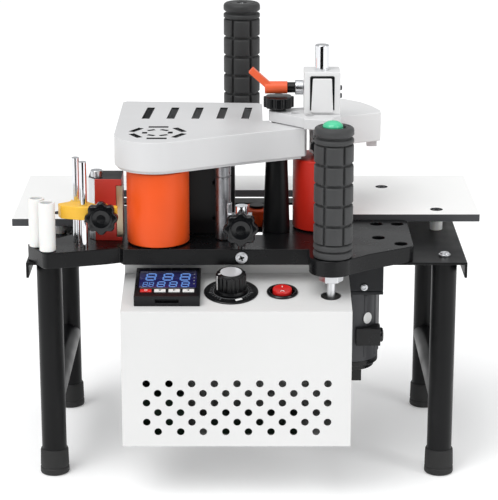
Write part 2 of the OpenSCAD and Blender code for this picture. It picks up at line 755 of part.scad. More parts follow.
module rocker_key() {
  color("#d9302c") place() on_panel(rocker_pos) {
    disc(7.8, -2, 3.6);
    rotate([0, 90, 0]) cylinder(r = 2, h = 8, center = true);
  }
}

// ---- grips ----

module grip_sleeve(cap_r) {
  r = grip_d / 2;
  row_h = (grip_h - 22) / 5;
  z_rows = 9;
  groove = 1.4;
  difference() {
    rotate_extrude() polygon(concat([[core_r + run_fit, 0], [r + 0.6, 0], [r + 0.6, 3.4], [r - 1, 4], [r + 0.4, 4.8],
      [r + 0.4, 7.6], [r - 1, 8.2]],
      [for (i = [0 : 4]) each [[r - 1, z_rows + row_h * i], [r, z_rows + row_h * i + 0.6],
        [r, z_rows + row_h * (i + 1) - 2.2], [r - 1, z_rows + row_h * (i + 1) - 1.6]]],
      [[r - 1, grip_h - 13], [r + 0.4, grip_h - 12], [r + 0.4, grip_h - 9], [r - 1, grip_h - 8],
       [r - 1, grip_h - 6], [r + 1, grip_h - 5], [r + 1, grip_h - 2], [r - 0.5, grip_h],
       [cap_r, grip_h], [cap_r, grip_h - 8], [core_r + run_fit, grip_h - 8]]));
    for (i = [0 : 5]) rotate(60 * i + 10) translate([r - groove, -0.8, z_rows]) cube([3, 1.6, row_h * 5 - 1.6]);
  }
}
module hand_grips() {
  color("#3c3d3f") place() {
    at(grip_xy, base_top) grip_sleeve(button_r + 1);
    at(rear_grip_xy, gear_plate_top) grip_sleeve(4);
  }
}
module grip_cores() {
  h = grip_h - 8;
  color("#c6c8ca") place() {
    at(grip_xy, base_top) difference() {
      union() {
        disc(core_r, 0, h);
        disc(shaft_r, -base_t - 8, 1);
        disc(3, -base_t - 26, 0);
        hex(9, -base_t - 7, -base_t);
      }
      disc(button_r + 0.3, h - 14, h + 1);
    }
    at(rear_grip_xy, gear_plate_top) {
      disc(core_r, 0, h);
      disc(shaft_r, -gear_plate_t - 4, 1);
      hex(7.5, -gear_plate_t - 5, -gear_plate_t);
    }
  }
}
module green_button() {
  z0 = base_top + grip_h;
  color("#5accA0") place() at(grip_xy) {
    disc(button_r, z0 - 12, z0 - 0.5);
    translate([0, 0, z0 - 0.5]) intersection() {
      translate([0, 0, 4.5 - 9]) sphere(r = 9);
      disc(button_r, 0, 6);
    }
  }
}

// ---- pressure unit ----

arm_end = [58, 21.4];
arm_half_w = 7.5;
module arm_bar() {
  th = heading(pivot_xy, arm_end);
  difference() {
    polygon(concat(arc(pivot_xy, arm_half_w, th + 90, th + 270),
      [[press_xy[0] - 14, press_xy[1] - 23], [press_xy[0] - 14, press_xy[1] - 26]],
      arc(arm_end, arm_half_w, th - 60, th + 60), [[press_xy[0] + 14, press_xy[1] - 15],
      [press_xy[0] + 14, press_xy[1] + 14], [press_xy[0] - 14, press_xy[1] + 14]]));
    translate(pivot_xy) circle(r = pivot_r + run_fit);
    for (k = [0.36, 0.68]) translate(pivot_xy + k * (arm_end - pivot_xy)) circle(r = 3.2);
    translate(press_xy) circle(r = chrome_r);
  }
}
module link_arm() {
  color("#cfd1d3") place() translate([0, 0, arm_z]) linear_extrude(arm_t) arm_bar();
}
bracket_h = 32;
// Axis of the clamp lever, along X, and of the side knob, along Y
lever_x = press_xy[0] - 13.5;
lever_yz = [press_xy[1] + 9, arm_z + arm_t + 16.5];
side_x = press_xy[0] + 2;
side_z = gear_z + 4;
holder_r = 9;
stud_r = 2;
module clamp_bracket() {
  z0 = arm_z + arm_t;
  color("#eceded") place() difference() {
    union() {
      at(press_xy) block([-13.5, 13.5], [-11, 12], [z0, z0 + bracket_h]);
      at(press_xy) disc(holder_r, gear_plate_z + 1, arm_z);
    }
    at(press_xy) disc(chrome_r + 0.01, gear_plate_z, z0 + bracket_h + 1);
    at(press_xy) for (s = [-1, 1]) block(s > 0 ? [7.2, 8.4] : [-8.4, -7.2], [-12, -7], [z0 + 5, z0 + bracket_h - 3]);
    at(press_xy) block([-8.4, 8.4], [-12, -7], [z0 + bracket_h - 4.2, z0 + bracket_h - 3]);
    translate([lever_x - 1, lever_yz[0], lever_yz[1]]) rotate([0, 90, 0])
      cylinder(r = stud_r + run_fit, h = 10);
    translate([side_x, press_xy[1] - holder_r - 1, side_z]) rotate([-90, 0, 0])
      cylinder(r = stud_r + run_fit, h = 4.5);
  }
}
module pressure_shaft() {
  color("#e0e2e4") place() at(press_xy) {
    disc(chrome_r, base_top + roller_gap, arm_z + arm_t + bracket_h + 19);
  }
}
module pressure_roller() {
  color("#c8261b") place() at(press_xy)
    ring(press_d / 2, chrome_r + run_fit, base_top + roller_gap, gear_plate_z - roller_gap - 1);
}
module pressure_outline() {
  polygon([[49, 62], [70, 60.5], [103.6, 76], [103.6, 84], [98, 100], [90, 114], [77, 126.7],
    [53, 126.7], [49, 122]]);
}
module pressure_cover() {
  z1 = arm_z - cover_bottom;
  color("#ededec") place() {
    translate([0, 0, cover_bottom]) difference() {
      linear_extrude(z1) pressure_outline();
      translate([0, 0, -1]) linear_extrude(z1 - cover_wall + 1) offset(delta = -cover_wall)
        pressure_outline();
    }
    block([press_xy[0] - 14, press_xy[0] + 14], [press_xy[1] + 14, 70], [arm_z, arm_z + 3]);
    block([93, 101], [78, 84], [cover_bottom - 5, cover_bottom + 21]);
  }
}
module clamp_lever() {
  color("#ee7043") place() translate([lever_x - gap, lever_yz[0], lever_yz[1]]) rotate([0, -90, 0]) {
    disc(stud_r, -8, 1);
    disc(5.6, 0, 6);
    disc(4, 6, 12);
    disc(4.7, 12, 29);
    translate([0, 0, 25]) rotate([0, 42, 0]) translate([-2.2, -3.4, 0]) cube([5, 6.8, 20]);
  }
}
module top_knob() {
  z0 = arm_z + arm_t + 2.5;
  color("#131415") place() at(pivot_xy) difference() {
    union() {
      translate([0, 0, z0]) star_knob(11.5, 8, 1);
      disc(6, arm_z + arm_t + gap, z0);
    }
    disc(pivot_r + run_fit, arm_z, z0 + 6);
  }
}
module side_knob() {
  color("#131415") place() translate([side_x, press_xy[1] - holder_r - gap, side_z]) rotate([90, 0, 0]) {
    disc(stud_r, -3, 1);
    disc(5, 0, 4);
    translate([0, 0, 4]) star_knob(10.8, 8, 1);
  }
}

stand_plate();
leg_tubes();
cross_tubes();
rubber_feet();
table_board();
table_spacers();
pan_screws();
base_plate();
drive_pillar();
steel_posts();
gear_plate();
main_cover();
box_shell();
box_back_panel();
power_inlet();
control_board();
meter_body();
dial_plate();
rocker_bezel();
hand_grips();
grip_cores();
gearbox_case();
motor_body();
motor_end_cap();
guide_posts();
chrome_rods();
cutter_block();
glue_pot();
sheet_brackets();
meter_key(0, "#d6302b");  // meter_key_red
meter_key(1, "#f2f2f2");  // meter_key_left
meter_key(2, "#f2f2f2");  // meter_key_down
meter_key(3, "#f2f2f2");  // meter_key_up
speed_knob();
rocker_key();
green_button();
feed_roller();
feed_shaft();
glue_roller();
idler(large_xy, large_turn, large_teeth);  // idler_large
idler(small_xy, small_turn, small_teeth);  // idler_small
drive_shaft();
reduction_gear();
motor_rotor();
guide_roller(guide_front_xy);  // guide_roller_front
guide_roller(guide_rear_xy);  // guide_roller_rear
tape_guide();
tape_knob();
cutter_blade();
centre_clamp();
centre_knob();
link_arm();
clamp_bracket();
pressure_cover();
pressure_shaft();
pressure_roller();
clamp_lever();
top_knob();
side_knob();
support_wheel();
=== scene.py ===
"""Bench edge banding machine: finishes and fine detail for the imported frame."""
import json
from math import atan2, cos, pi, radians, sin

import bmesh
import bpy
from mathutils import Matrix, Vector


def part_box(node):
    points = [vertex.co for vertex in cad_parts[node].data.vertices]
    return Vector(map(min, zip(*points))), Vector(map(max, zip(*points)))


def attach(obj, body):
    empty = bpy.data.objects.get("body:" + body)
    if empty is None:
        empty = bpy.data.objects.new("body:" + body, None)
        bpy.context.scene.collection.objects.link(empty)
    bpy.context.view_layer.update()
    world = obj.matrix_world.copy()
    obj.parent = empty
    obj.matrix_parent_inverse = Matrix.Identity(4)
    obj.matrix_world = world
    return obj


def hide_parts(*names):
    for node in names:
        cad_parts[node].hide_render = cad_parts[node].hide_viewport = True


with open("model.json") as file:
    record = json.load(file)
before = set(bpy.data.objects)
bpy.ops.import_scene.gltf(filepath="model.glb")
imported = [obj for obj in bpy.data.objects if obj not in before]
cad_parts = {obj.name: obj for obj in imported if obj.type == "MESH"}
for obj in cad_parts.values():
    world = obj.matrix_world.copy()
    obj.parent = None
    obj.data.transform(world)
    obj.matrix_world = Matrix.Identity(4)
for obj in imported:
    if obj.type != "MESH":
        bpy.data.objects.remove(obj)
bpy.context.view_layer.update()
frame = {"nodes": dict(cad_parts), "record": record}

bl_info = {
    "name": "Edge Banding Machine",
    "version": (1, 0, 0),
    "blender": (4, 5, 0),
    "location": "View3D > Sidebar > Edge Bander",
    "description": "Builds the finished look of a bench edge banding machine on its frame",
    "category": "Object",
}

MM = 0.001
# Which body each frame node belongs to, and its material slot
BODY_OF = {n: b for b, ns in frame["record"]["behaviour"]["bodies"].items() for n in ns}
SLOT_OF = {s["node"]: s["material_slot"] for s in frame["record"]["subparts"]}
# The control panel: its slope, its fold's height, and the places of what it carries, in mm
PANEL_TILT = radians(9)
FOLD_Z = 151.5
METER_AT = (-58.0, 32.5)
METER_PROUD = 8.0
DIAL_AT = (-11.5, 31.3)
ROCKER_AT = (26.2, 31.0)
# Hand grips: radius, height, and where each one starts, in mm
GRIP_R = 14.4
GRIP_TALL = 97.0
GRIP_BASE = {"front": 186.0, "rear": 247.5}
# Motor: its axis, its radius over the ribs, how far right its brush cap is, and how far round
# and how far below the gearbox its plate is, in mm
MOTOR_XY = (79.0, -34.5)
MOTOR_R = 22.75
BRUSH_CAP_X = 22.5
PLATE_TURN = radians(-56)
PLATE_DROP = 22.5
# Clamp lever: its stud's length, and where its collar starts and ends from there, in mm
LEVER_STUD = 8.0
LEVER_COLLAR = (11.9, 5.95)
# Depth of the counterbore in a guide roller, and width of a controller key, in mm
SINK = 5.5
KEY_WIDE = 4.6
# Heights of the front screw and of the lowest dark screw, in mm
FRONT_SCREW_Z = 180.0
DARK_SCREW_Z = 186.5
# Camera: its place in metres, and how far it looks down in degrees
EYE_AT = (0.0017, -1.4959, 0.6046)
EYE_DOWN = 16.5
# Studio: what the lights look at, the dark card's place and size, and the floor's height, in metres
LIGHTS_AIM = (0, 0, 0.2)
CARD_AT = (-0.06, -0.85, 0.31)
CARD_SIZE = (0.8, 0.62, 1)
FLOOR_Z = -0.0002


# ---------------------------------------------------------------- settings

def colour(name, rgb, note):
    """A colour that the panel lists"""
    return bpy.props.FloatVectorProperty(name=name, description=note, subtype="COLOR", size=3,
                                         min=0.0, max=1.0, default=rgb)


class PaintSettings(bpy.types.PropertyGroup):
    """Colours of the paints, rubbers and plastics"""
    stand_black: colour("Stand black", (0.0045, 0.0047, 0.0052),
                        "Powder coat of the stand and plates")
    plate_black: colour("Base plate", (0.0050, 0.0052, 0.0058), "Satin coat of the base plate")
    cover_grey: colour("Cover grey", (0.64, 0.64, 0.645), "Paint of the gear cover")
    cover_white: colour("Cover white", (0.73, 0.73, 0.73), "Paint of the pressure unit")
    box_white: colour("Box white", (0.70, 0.70, 0.695), "Powder coat of the control box")
    board_white: colour("Table white", (0.90, 0.90, 0.89), "Laminate of the table board")
    board_core: colour("Table core", (0.055, 0.057, 0.062), "Core seen on the table board's edges")
    grip_grey: colour("Grip grey", (0.038, 0.039, 0.040), "Rubber of the hand grips")
    feed_orange: colour("Feed roller", (0.82, 0.088, 0.006), "Polyurethane of the feed roller")
    press_red: colour("Pressure roller", (0.56, 0.018, 0.007), "Rubber of the pressure roller")
    guide_yellow: colour("Tape guide", (0.88, 0.50, 0.035), "Moulding of the tape guide")
    block_red: colour("Cutter block", (0.52, 0.035, 0.024),
                      "Paint on the front of the cutter block")
    button_green: colour("Button green", (0.065, 0.56, 0.30), "Dome of the push button")
    lever_orange: colour("Clamp lever", (0.80, 0.115, 0.035), "Handle of the clamp lever")
    switch_red: colour("Switch red", (0.66, 0.018, 0.016), "Cap of the rocker switch")
    motor_black: colour("Motor black", (0.013, 0.014, 0.016), "Paint of the gearbox and motor")


class SizeSettings(bpy.types.PropertyGroup):
    """Sizes of the fine detail"""
    grip_rows: bpy.props.IntProperty(name="Grip rows", description="Rows of blocks on a grip",
                                     default=5, min=2, max=8)
    grip_columns: bpy.props.IntProperty(name="Grip columns", description="Blocks round a grip",
                                        default=6, min=4, max=10)
    grip_groove: bpy.props.FloatProperty(name="Grip groove", description="Gap between the blocks",
                                         default=0.0019, unit="LENGTH")
    lens: bpy.props.FloatProperty(name="Lens", description="Focal length of the camera in mm",
                                  default=144.0)


def paint_set():
    return bpy.context.scene.eb_paints


def size_set():
    return bpy.context.scene.eb_sizes


# ---------------------------------------------------------------- finishes

def new_material(name, base, rough, metallic=0.0, **sockets):
    """Principled material with its uniform values on the shader's own sockets"""
    mat = bpy.data.materials.new(name)
    mat.use_nodes = True
    bsdf = mat.node_tree.nodes["Principled BSDF"]
    bsdf.inputs["Base Color"].default_value = (*base, 1.0)
    bsdf.inputs["Roughness"].default_value = rough
    bsdf.inputs["Metallic"].default_value = metallic
    for key, value in sockets.items():
        bsdf.inputs[key.replace("_", " ")].default_value = value
    mat.diffuse_color = (*base, 1.0)
    return mat


def noise_on(mat, scale, detail=3.0, stretch=(1, 1, 1)):
    """A noise on Object coordinates; gives its value socket"""
    nodes, links = mat.node_tree.nodes, mat.node_tree.links
    coord = nodes.new("ShaderNodeTexCoord")
    mapping = nodes.new("ShaderNodeMapping")
    mapping.inputs["Scale"].default_value = stretch
    links.new(coord.outputs["Object"], mapping.inputs["Vector"])
    tex = nodes.new("ShaderNodeTexNoise")
    tex.inputs["Detail"].default_value = detail
    tex.inputs["Scale"].default_value = scale
    links.new(mapping.outputs["Vector"], tex.inputs["Vector"])
    return tex.outputs["Fac"]


def vary(mat, base, value, amount):
    """Base colour that drifts a little lighter and darker"""
    nodes, links = mat.node_tree.nodes, mat.node_tree.links
    ramp = nodes.new("ShaderNodeValToRGB")
    low, high = ramp.color_ramp.elements
    low.position, high.position = 0.3, 0.7
    low.color = (*[c * (1 - amount) for c in base], 1)
    high.color = (*[min(1.0, c * (1 + amount)) for c in base], 1)
    links.new(value, ramp.inputs["Fac"])
    bsdf = nodes["Principled BSDF"]
    links.new(ramp.outputs["Color"], bsdf.inputs["Base Color"])


def roughen(mat, value, low, high):
    """Roughness that drifts between two values"""
    nodes, links = mat.node_tree.nodes, mat.node_tree.links
    span = nodes.new("ShaderNodeMapRange")
    span.inputs["From Min"].default_value = 0.3
    span.inputs["From Max"].default_value = 0.7
    span.inputs["To Min"].default_value = low
    span.inputs["To Max"].default_value = high
    links.new(value, span.inputs["Value"])
    links.new(span.outputs["Result"], nodes["Principled BSDF"].inputs["Roughness"])


def emboss(mat, value, height, strength):
    """Bump of a real height in metres"""
    nodes, links = mat.node_tree.nodes, mat.node_tree.links
    bump = nodes.new("ShaderNodeBump")
    bump.inputs["Strength"].default_value = strength
    bump.inputs["Distance"].default_value = height
    old = nodes["Principled BSDF"].inputs["Normal"]
    if old.links:
        links.new(old.links[0].from_socket, bump.inputs["Normal"])
    links.new(value, bump.inputs["Height"])
    links.new(bump.outputs["Normal"], old)


def powder_coat(name, base, rough, grain=0.00006, spread=0.04, coat=0.0, gloss=0.5):
    """Powder coat: fine orange peel, with slight dust and handling marks"""
    mat = new_material(name, base, rough, Coat_Weight=coat, Coat_Roughness=0.25,
                       Specular_IOR_Level=gloss)
    vary(mat, base, noise_on(mat, 9.0, 4.0), spread)
    roughen(mat, noise_on(mat, 35.0, 5.0), rough - 0.06, rough + 0.07)
    emboss(mat, noise_on(mat, 900.0, 2.0), grain, 0.6)
    return mat


def satin_plastic(name, base, rough, grain=0.00002, spread=0.03, gloss=0.5, **sockets):
    """Injection moulded plastic with a fine spark-eroded grain"""
    mat = new_material(name, base, rough, Specular_IOR_Level=gloss, **sockets)
    vary(mat, base, noise_on(mat, 14.0, 3.0), spread)
    roughen(mat, noise_on(mat, 60.0, 4.0), rough - 0.05, rough + 0.06)
    emboss(mat, noise_on(mat, 1500.0, 2.0), grain, 0.5)
    return mat


def ground_rubber(name, base, rough, stretch):
    """Rubber ground on a cylindrical grinder: fine rings round the roller"""
    mat = new_material(name, base, rough, Specular_IOR_Level=0.35, Sheen_Weight=0.04,
                       Sheen_Roughness=0.5)
    vary(mat, base, noise_on(mat, 18.0, 5.0), 0.06)
    roughen(mat, noise_on(mat, 120.0, 3.0, stretch), rough - 0.08, rough + 0.08)
    emboss(mat, noise_on(mat, 700.0, 2.0, stretch), 0.00004, 0.6)
    emboss(mat, noise_on(mat, 1800.0, 2.0), 0.00002, 0.4)
    return mat


def machined_metal(name, base, rough, stretch=(1, 1, 1), scale=260.0, depth=0.000003):
    """Metal with the marks of its machining along one direction"""
    mat = new_material(name, base, rough, 1.0)
    vary(mat, base, noise_on(mat, scale, 3.0, stretch), 0.05)
    roughen(mat, noise_on(mat, scale * 0.5, 4.0, stretch), max(0.04, rough - 0.09), rough + 0.10)
    emboss(mat, noise_on(mat, scale * 3, 2.0, stretch), depth, 0.5)
    return mat


def polished_metal(name, base, rough):
    """Chrome plate with faint haze"""
    mat = new_material(name, base, rough, 1.0)
    roughen(mat, noise_on(mat, 90.0, 4.0), rough, rough + 0.08)
    vary(mat, base, noise_on(mat, 25.0, 2.0), 0.03)
    return mat


def glowing(name, base, power):
    """Lit segments of a display"""
    mat = new_material(name, base, 0.4)
    bsdf = mat.node_tree.nodes["Principled BSDF"]
    bsdf.inputs["Emission Color"].default_value = (*base, 1)
    bsdf.inputs["Emission Strength"].default_value = power
    return mat


def make_finishes():
    """Every finish of the machine, by name"""
    p = paint_set()
    return {
        "black_coat": powder_coat("black_powder_coat", p.stand_black, 0.36, gloss=0.2),
        "plate_coat": powder_coat("plate_satin_coat", p.plate_black, 0.27, 0.00004, gloss=0.24),
        "cover_coat": powder_coat("cover_grey_paint", p.cover_grey, 0.34, 0.00003, 0.02, 0.15),
        "white_coat": powder_coat("pressure_white_paint", p.cover_white, 0.34, 0.00003, 0.02, 0.15),
        "box_coat": powder_coat("box_powder_coat", p.box_white, 0.46, 0.00005, 0.02),
        "motor_coat": powder_coat("motor_black_paint", p.motor_black, 0.42, 0.00006, gloss=0.3),
        "can_coat": powder_coat("motor_can_paint", (0.042, 0.043, 0.047), 0.40, 0.00005, gloss=0.4),
        "glue_coat": powder_coat("glue_pot_coating", (0.010, 0.0104, 0.0115), 0.34, 0.00003,
                                 gloss=0.3),
        "laminate": powder_coat("table_laminate", p.board_white, 0.38, 0.00003, 0.015),
        "laminate_core": powder_coat("table_core", p.board_core, 0.6, 0.00008, 0.12),
        "foot_rubber": satin_plastic("foot_rubber", (0.012, 0.012, 0.012), 0.66, 0.00005),
        "grip_rubber": satin_plastic("grip_rubber", p.grip_grey, 0.62, 0.00005, 0.07,
                                     Sheen_Weight=0.10, Sheen_Roughness=0.45),
        # darker copy of the same grip rubber for the rear grip: painted shade
        "grip_rubber_painted_shade": satin_plastic("grip_rubber_painted_shade", tuple(c * 0.55 for c in p.grip_grey),
                                          0.60, 0.00005, 0.07, Sheen_Weight=0.08),
        "nylon": satin_plastic("white_nylon", (0.83, 0.83, 0.81), 0.42, 0.00001, 0.02,
                               Subsurface_Weight=0.08, Subsurface_Scale=0.002),
        "feed_rubber": ground_rubber("feed_polyurethane", p.feed_orange, 0.42, (1, 1, 14)),
        "press_rubber": ground_rubber("pressure_rubber", p.press_red, 0.40, (1, 1, 14)),
        "wheel_rubber": ground_rubber("wheel_rubber", p.feed_orange, 0.46, (1, 1, 10)),
        "zinc": machined_metal("zinc_plated_steel", (0.62, 0.63, 0.65), 0.28, (1, 1, 1), 140.0),
        "steel": machined_metal("ground_steel", (0.52, 0.53, 0.55), 0.26, (1, 1, 18), 160.0),
        "knurled": machined_metal("knurled_steel", (0.33, 0.335, 0.35), 0.34, (1, 1, 1), 900.0,
                                  0.0001),
        "chrome": polished_metal("chrome_plate", (0.80, 0.81, 0.83), 0.07),
        "aluminium": machined_metal("machined_aluminium", (0.66, 0.67, 0.69), 0.30, (18, 1, 1),
                                    120.0),
        "spun": satin_plastic("spun_aluminium", (0.78, 0.79, 0.81), 0.32, 0.00001, 0.06,
                              Metallic=0.45, Anisotropic=0.6),
        "brass": machined_metal("plain_brass", (0.74, 0.65, 0.47), 0.36, (1, 1, 0.1), 900.0),
        "gear_brass": machined_metal("gear_brass", (0.60, 0.45, 0.21), 0.34, (1, 1, 6), 140.0),
        "gear_nylon": satin_plastic("gear_nylon", (0.60, 0.56, 0.44), 0.44),
        "cutter_paint": powder_coat("red_cutter_paint", p.block_red, 0.38, 0.00003, 0.04),
        # near-black finish for the walls of cut slots and for the screw's cross recess: painted
        # shade
        "slot_shade": satin_plastic("cut_slot_walls_painted_shade", (0.020, 0.020, 0.021), 0.6, gloss=0.2),
        "black_plastic": satin_plastic("black_plastic", (0.0038, 0.0040, 0.0046), 0.28, gloss=0.35),
        "black_gloss": satin_plastic("black_gloss_plastic", (0.004, 0.0043, 0.005), 0.20, 0.000008,
                                     gloss=0.4),
        "white_plastic": satin_plastic("white_plastic", (0.78, 0.78, 0.77), 0.36),
        "yellow": satin_plastic("yellow_plastic", p.guide_yellow, 0.36, 0.00002, 0.03,
                                Subsurface_Weight=0.06, Subsurface_Scale=0.002),
        "green": satin_plastic("green_plastic", p.button_green, 0.24, 0.00001, 0.03,
                               Coat_Weight=0.3, Coat_Roughness=0.12),
        "orange": satin_plastic("orange_plastic", p.lever_orange, 0.34),
        "red": satin_plastic("switch_red_plastic", p.switch_red, 0.22, 0.000008, 0.03,
                             Coat_Weight=0.35, Coat_Roughness=0.1),
        "mark_white": satin_plastic("white_marking", (0.80, 0.80, 0.79), 0.5, 0.000005, 0.02),
        "zinc_bright": machined_metal("bright_zinc", (0.80, 0.81, 0.83), 0.34),
        "case_black": satin_plastic("controller_case", (0.006, 0.0063, 0.0078), 0.30, gloss=0.25),
        "arm_paint": powder_coat("arm_light_paint", (0.66, 0.66, 0.665), 0.34, 0.00003, 0.02, 0.15),
        "dark_zinc": machined_metal("black_zinc_steel", (0.050, 0.051, 0.055), 0.34),
        "mark_grey": satin_plastic("grey_marking", (0.22, 0.225, 0.23), 0.5, 0.000005, 0.02),
        "blue_digits": glowing("blue_segments", (0.10, 0.22, 0.52), 0.30),
        "window": satin_plastic("smoked_window", (0.016, 0.015, 0.085), 0.12, 0.000004, 0.02),
        "rotor": machined_metal("wound_rotor", (0.42, 0.22, 0.10), 0.4, (1, 1, 8), 200.0),
        "board": satin_plastic("circuit_board", (0.008, 0.030, 0.014), 0.42),
        "glue": satin_plastic("hot_melt_glue", (0.55, 0.42, 0.20), 0.18, 0.00003, 0.10,
                              Subsurface_Weight=0.2, Subsurface_Scale=0.003),
    }


FINISH = {}


def finish(name):
    """A finish by its name; all of them are made at the first call"""
    if not FINISH:
        FINISH.update(make_finishes())
    return FINISH[name]


# ---------------------------------------------------------------- shapes

def mm(*values):
    """A point or size given in mm, in metres"""
    return Vector(values) * MM


def add_piece(name, bm, body, slot, *finishes, replaces=(), smooth=32.0, weighted=False):
    """A finished mesh that rides on a body of the frame"""
    mesh = bpy.data.meshes.new(name)
    bm.to_mesh(mesh)
    bm.free()
    mesh.shade_smooth()
    mesh.set_sharp_from_angle(angle=radians(smooth))
    piece = bpy.data.objects.new(name, mesh)
    bpy.context.scene.collection.objects.link(piece)
    for f in finishes:
        mesh.materials.append(finish(f))
    if weighted:
        piece.modifiers.new("shading", "WEIGHTED_NORMAL").keep_sharp = True
    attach(piece, body)
    for node in replaces:
        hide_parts(node)


def round_off(bm, edges, width, segments):
    """Rounds the given edges by a width in metres"""
    bmesh.ops.bevel(bm, geom=edges, offset=width, offset_type="OFFSET", affect="EDGES",
                    segments=segments, profile=0.5, material=-1, clamp_overlap=False)


def break_edges(bm, width, segments=2, least=32.0):
    """Rounds every edge that is sharper than an angle"""
    sharp = [e for e in bm.edges if len(e.link_faces) == 2 and e.calc_length() > 1e-6
             and e.calc_face_angle(0.0) > radians(least)]
    if sharp:
        round_off(bm, sharp, width, segments)


def merged_copy(node):
    """A welded copy of a frame node, ready for its edges to be rounded"""
    bm = bmesh.new()
    bm.from_mesh(frame["nodes"][node].data)
    bmesh.ops.remove_doubles(bm, verts=bm.verts, dist=2e-6)
    bmesh.ops.dissolve_limit(bm, angle_limit=radians(0.6), use_dissolve_boundaries=False,
                             verts=bm.verts, edges=bm.edges)
    return bm


def rounded_node(node, width, *finishes, segments=2, least=32.0, pick=None):
    """The frame's own shape with rounded edges; pick gives a face's finish number"""
    bm = merged_copy(node)
    if pick:
        for face in bm.faces:
            face.material_index = pick(face.normal, face.calc_center_median())
    break_edges(bm, width, segments, least)
    add_piece(node + "_finish", bm, BODY_OF[node], SLOT_OF[node], *finishes, replaces=[node],
              weighted=True)


def facing_front(at):
    """Placing matrix: local +Z goes along -Y, out of the machine's front"""
    return Matrix.Translation(at) @ Matrix.Rotation(pi / 2, 4, "X")


def facing_right(at):
    """Placing matrix: local +Z goes along +X, out of the machine's right side"""
    return Matrix.Translation(at) @ Matrix.Rotation(pi / 2, 4, "Y")


def put_into(bm, part, place):
    """Adds a finished form to a piece, in its place"""
    bmesh.ops.transform(part, matrix=place, verts=part.verts)
    mesh = bpy.data.meshes.new("form")
    part.to_mesh(mesh)
    part.free()
    bm.from_mesh(mesh)
    bpy.data.meshes.remove(mesh)


def turned(bm, outline, place, steps=72, closed=False):
    """Adds a turned form: outline is (radius, height) in mm from bottom to top"""
    part = bmesh.new()
    verts = [part.verts.new((r * MM, 0, z * MM)) for r, z in outline]
    pairs = list(zip(verts, verts[1:])) + ([(verts[-1], verts[0])] if closed else [])
    edges = [part.edges.new(pair) for pair in pairs]
    bmesh.ops.spin(part, geom=verts + edges, cent=(0, 0, 0), axis=(0, 0, 1), angle=2 * pi,
                   steps=steps, use_merge=True)
    bmesh.ops.remove_doubles(part, verts=part.verts, dist=1e-7)
    bmesh.ops.recalc_face_normals(part, faces=part.faces)
    put_into(bm, part, place)


def slab(bm, size, place, lip=0.0, segments=2):
    """Adds a block of a size in mm with rounded edges"""
    part = bmesh.new()
    bmesh.ops.create_cube(part, size=1.0)
    bmesh.ops.scale(part, vec=mm(*size), verts=part.verts)
    if lip:
        round_off(part, part.edges, lip * MM, segments)
    put_into(bm, part, place)


def raised(part, height):
    """Gives a flat outline its height along +Z, in mm"""
    up = bmesh.ops.extrude_face_region(part, geom=list(part.faces), use_keep_orig=True)
    bmesh.ops.translate(part, vec=(0, 0, height * MM), verts=[
        g for g in up["geom"] if isinstance(g, bmesh.types.BMVert)])
    bmesh.ops.recalc_face_normals(part, faces=part.faces)


def fluted(bm, r, z0, z1, lobes, depth, lip, place, steps):
    """Adds a knob body with scalloped sides, from height z0 to z1, in mm"""
    part = bmesh.new()
    bmesh.ops.create_circle(part, cap_ends=True, radius=r * MM, segments=lobes * steps)
    for v in part.verts:
        wave = 0.5 - 0.5 * cos(lobes * atan2(v.co.y, v.co.x))
        v.co *= 1.0 - depth / r * wave ** 1.6
        v.co.z = z0 * MM
    raised(part, z1 - z0)
    break_edges(part, lip * MM, 3, 60)
    put_into(bm, part, place)


def centre_of(node):
    """A frame node's centre and its two corners"""
    low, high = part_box(node)
    return (low + high) / 2, low, high


def on_panel(x, s, h=0.0):
    """Placing matrix on the sloping panel: x across, s up the slope, h out of it, in mm"""
    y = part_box("box_shell")[0].y / MM + s * cos(PANEL_TILT) - h * sin(PANEL_TILT)
    z = FOLD_Z + s * sin(PANEL_TILT) + h * cos(PANEL_TILT)
    return Matrix.Translation(mm(x, y, z)) @ Matrix.Rotation(PANEL_TILT, 4, "X")


def panel_place(point):
    """How far a point lies up the sloping panel and out of it, in mm"""
    y = point.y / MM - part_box("box_shell")[0].y / MM
    z = point.z / MM - FOLD_Z
    return y * cos(PANEL_TILT) + z * sin(PANEL_TILT), z * cos(PANEL_TILT) - y * sin(PANEL_TILT)


# ---------------------------------------------------------------- operators

class EB_OT_stand(bpy.types.Operator):
    """Tube stand: plate, legs, cross tubes and feet"""
    bl_idname = "edge_bander.stand"
    bl_label = "Stand"

    def execute(self, context):
        rounded_node("stand_plate", 0.0005, "black_coat")
        rounded_node("leg_tubes", 0.0003, "black_coat")
        rounded_node("cross_tubes", 0.0003, "black_coat")
        bm = bmesh.new()
        low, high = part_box("rubber_feet")
        r = 11.2
        tall = (high.z - low.z) / MM
        for x in (low.x / MM + r, high.x / MM - r):
            for y in (low.y / MM + r, high.y / MM - r):
                turned(bm, [(0, 0.6), (r - 3.4, 0.6), (r - 3.0, 0), (r - 1.2, 0), (r - 0.3, 0.5),
                            (r, 1.4), (r - 0.1, 4.6), (r - 0.6, 5.2), (r - 0.6, 6.0),
                            (r - 0.2, 6.6), (r - 0.5, tall - 1.4), (r - 0.9, tall - 0.4),
                            (r - 1.5, tall), (9.55, tall), (9.55, 3.1), (0, 3.1)],
                       Matrix.Translation(mm(x, y, low.z / MM)))
        add_piece("foot_mouldings", bm, "machine", "foot_rubber", "foot_rubber",
                  replaces=["rubber_feet"])
        return {"FINISHED"}


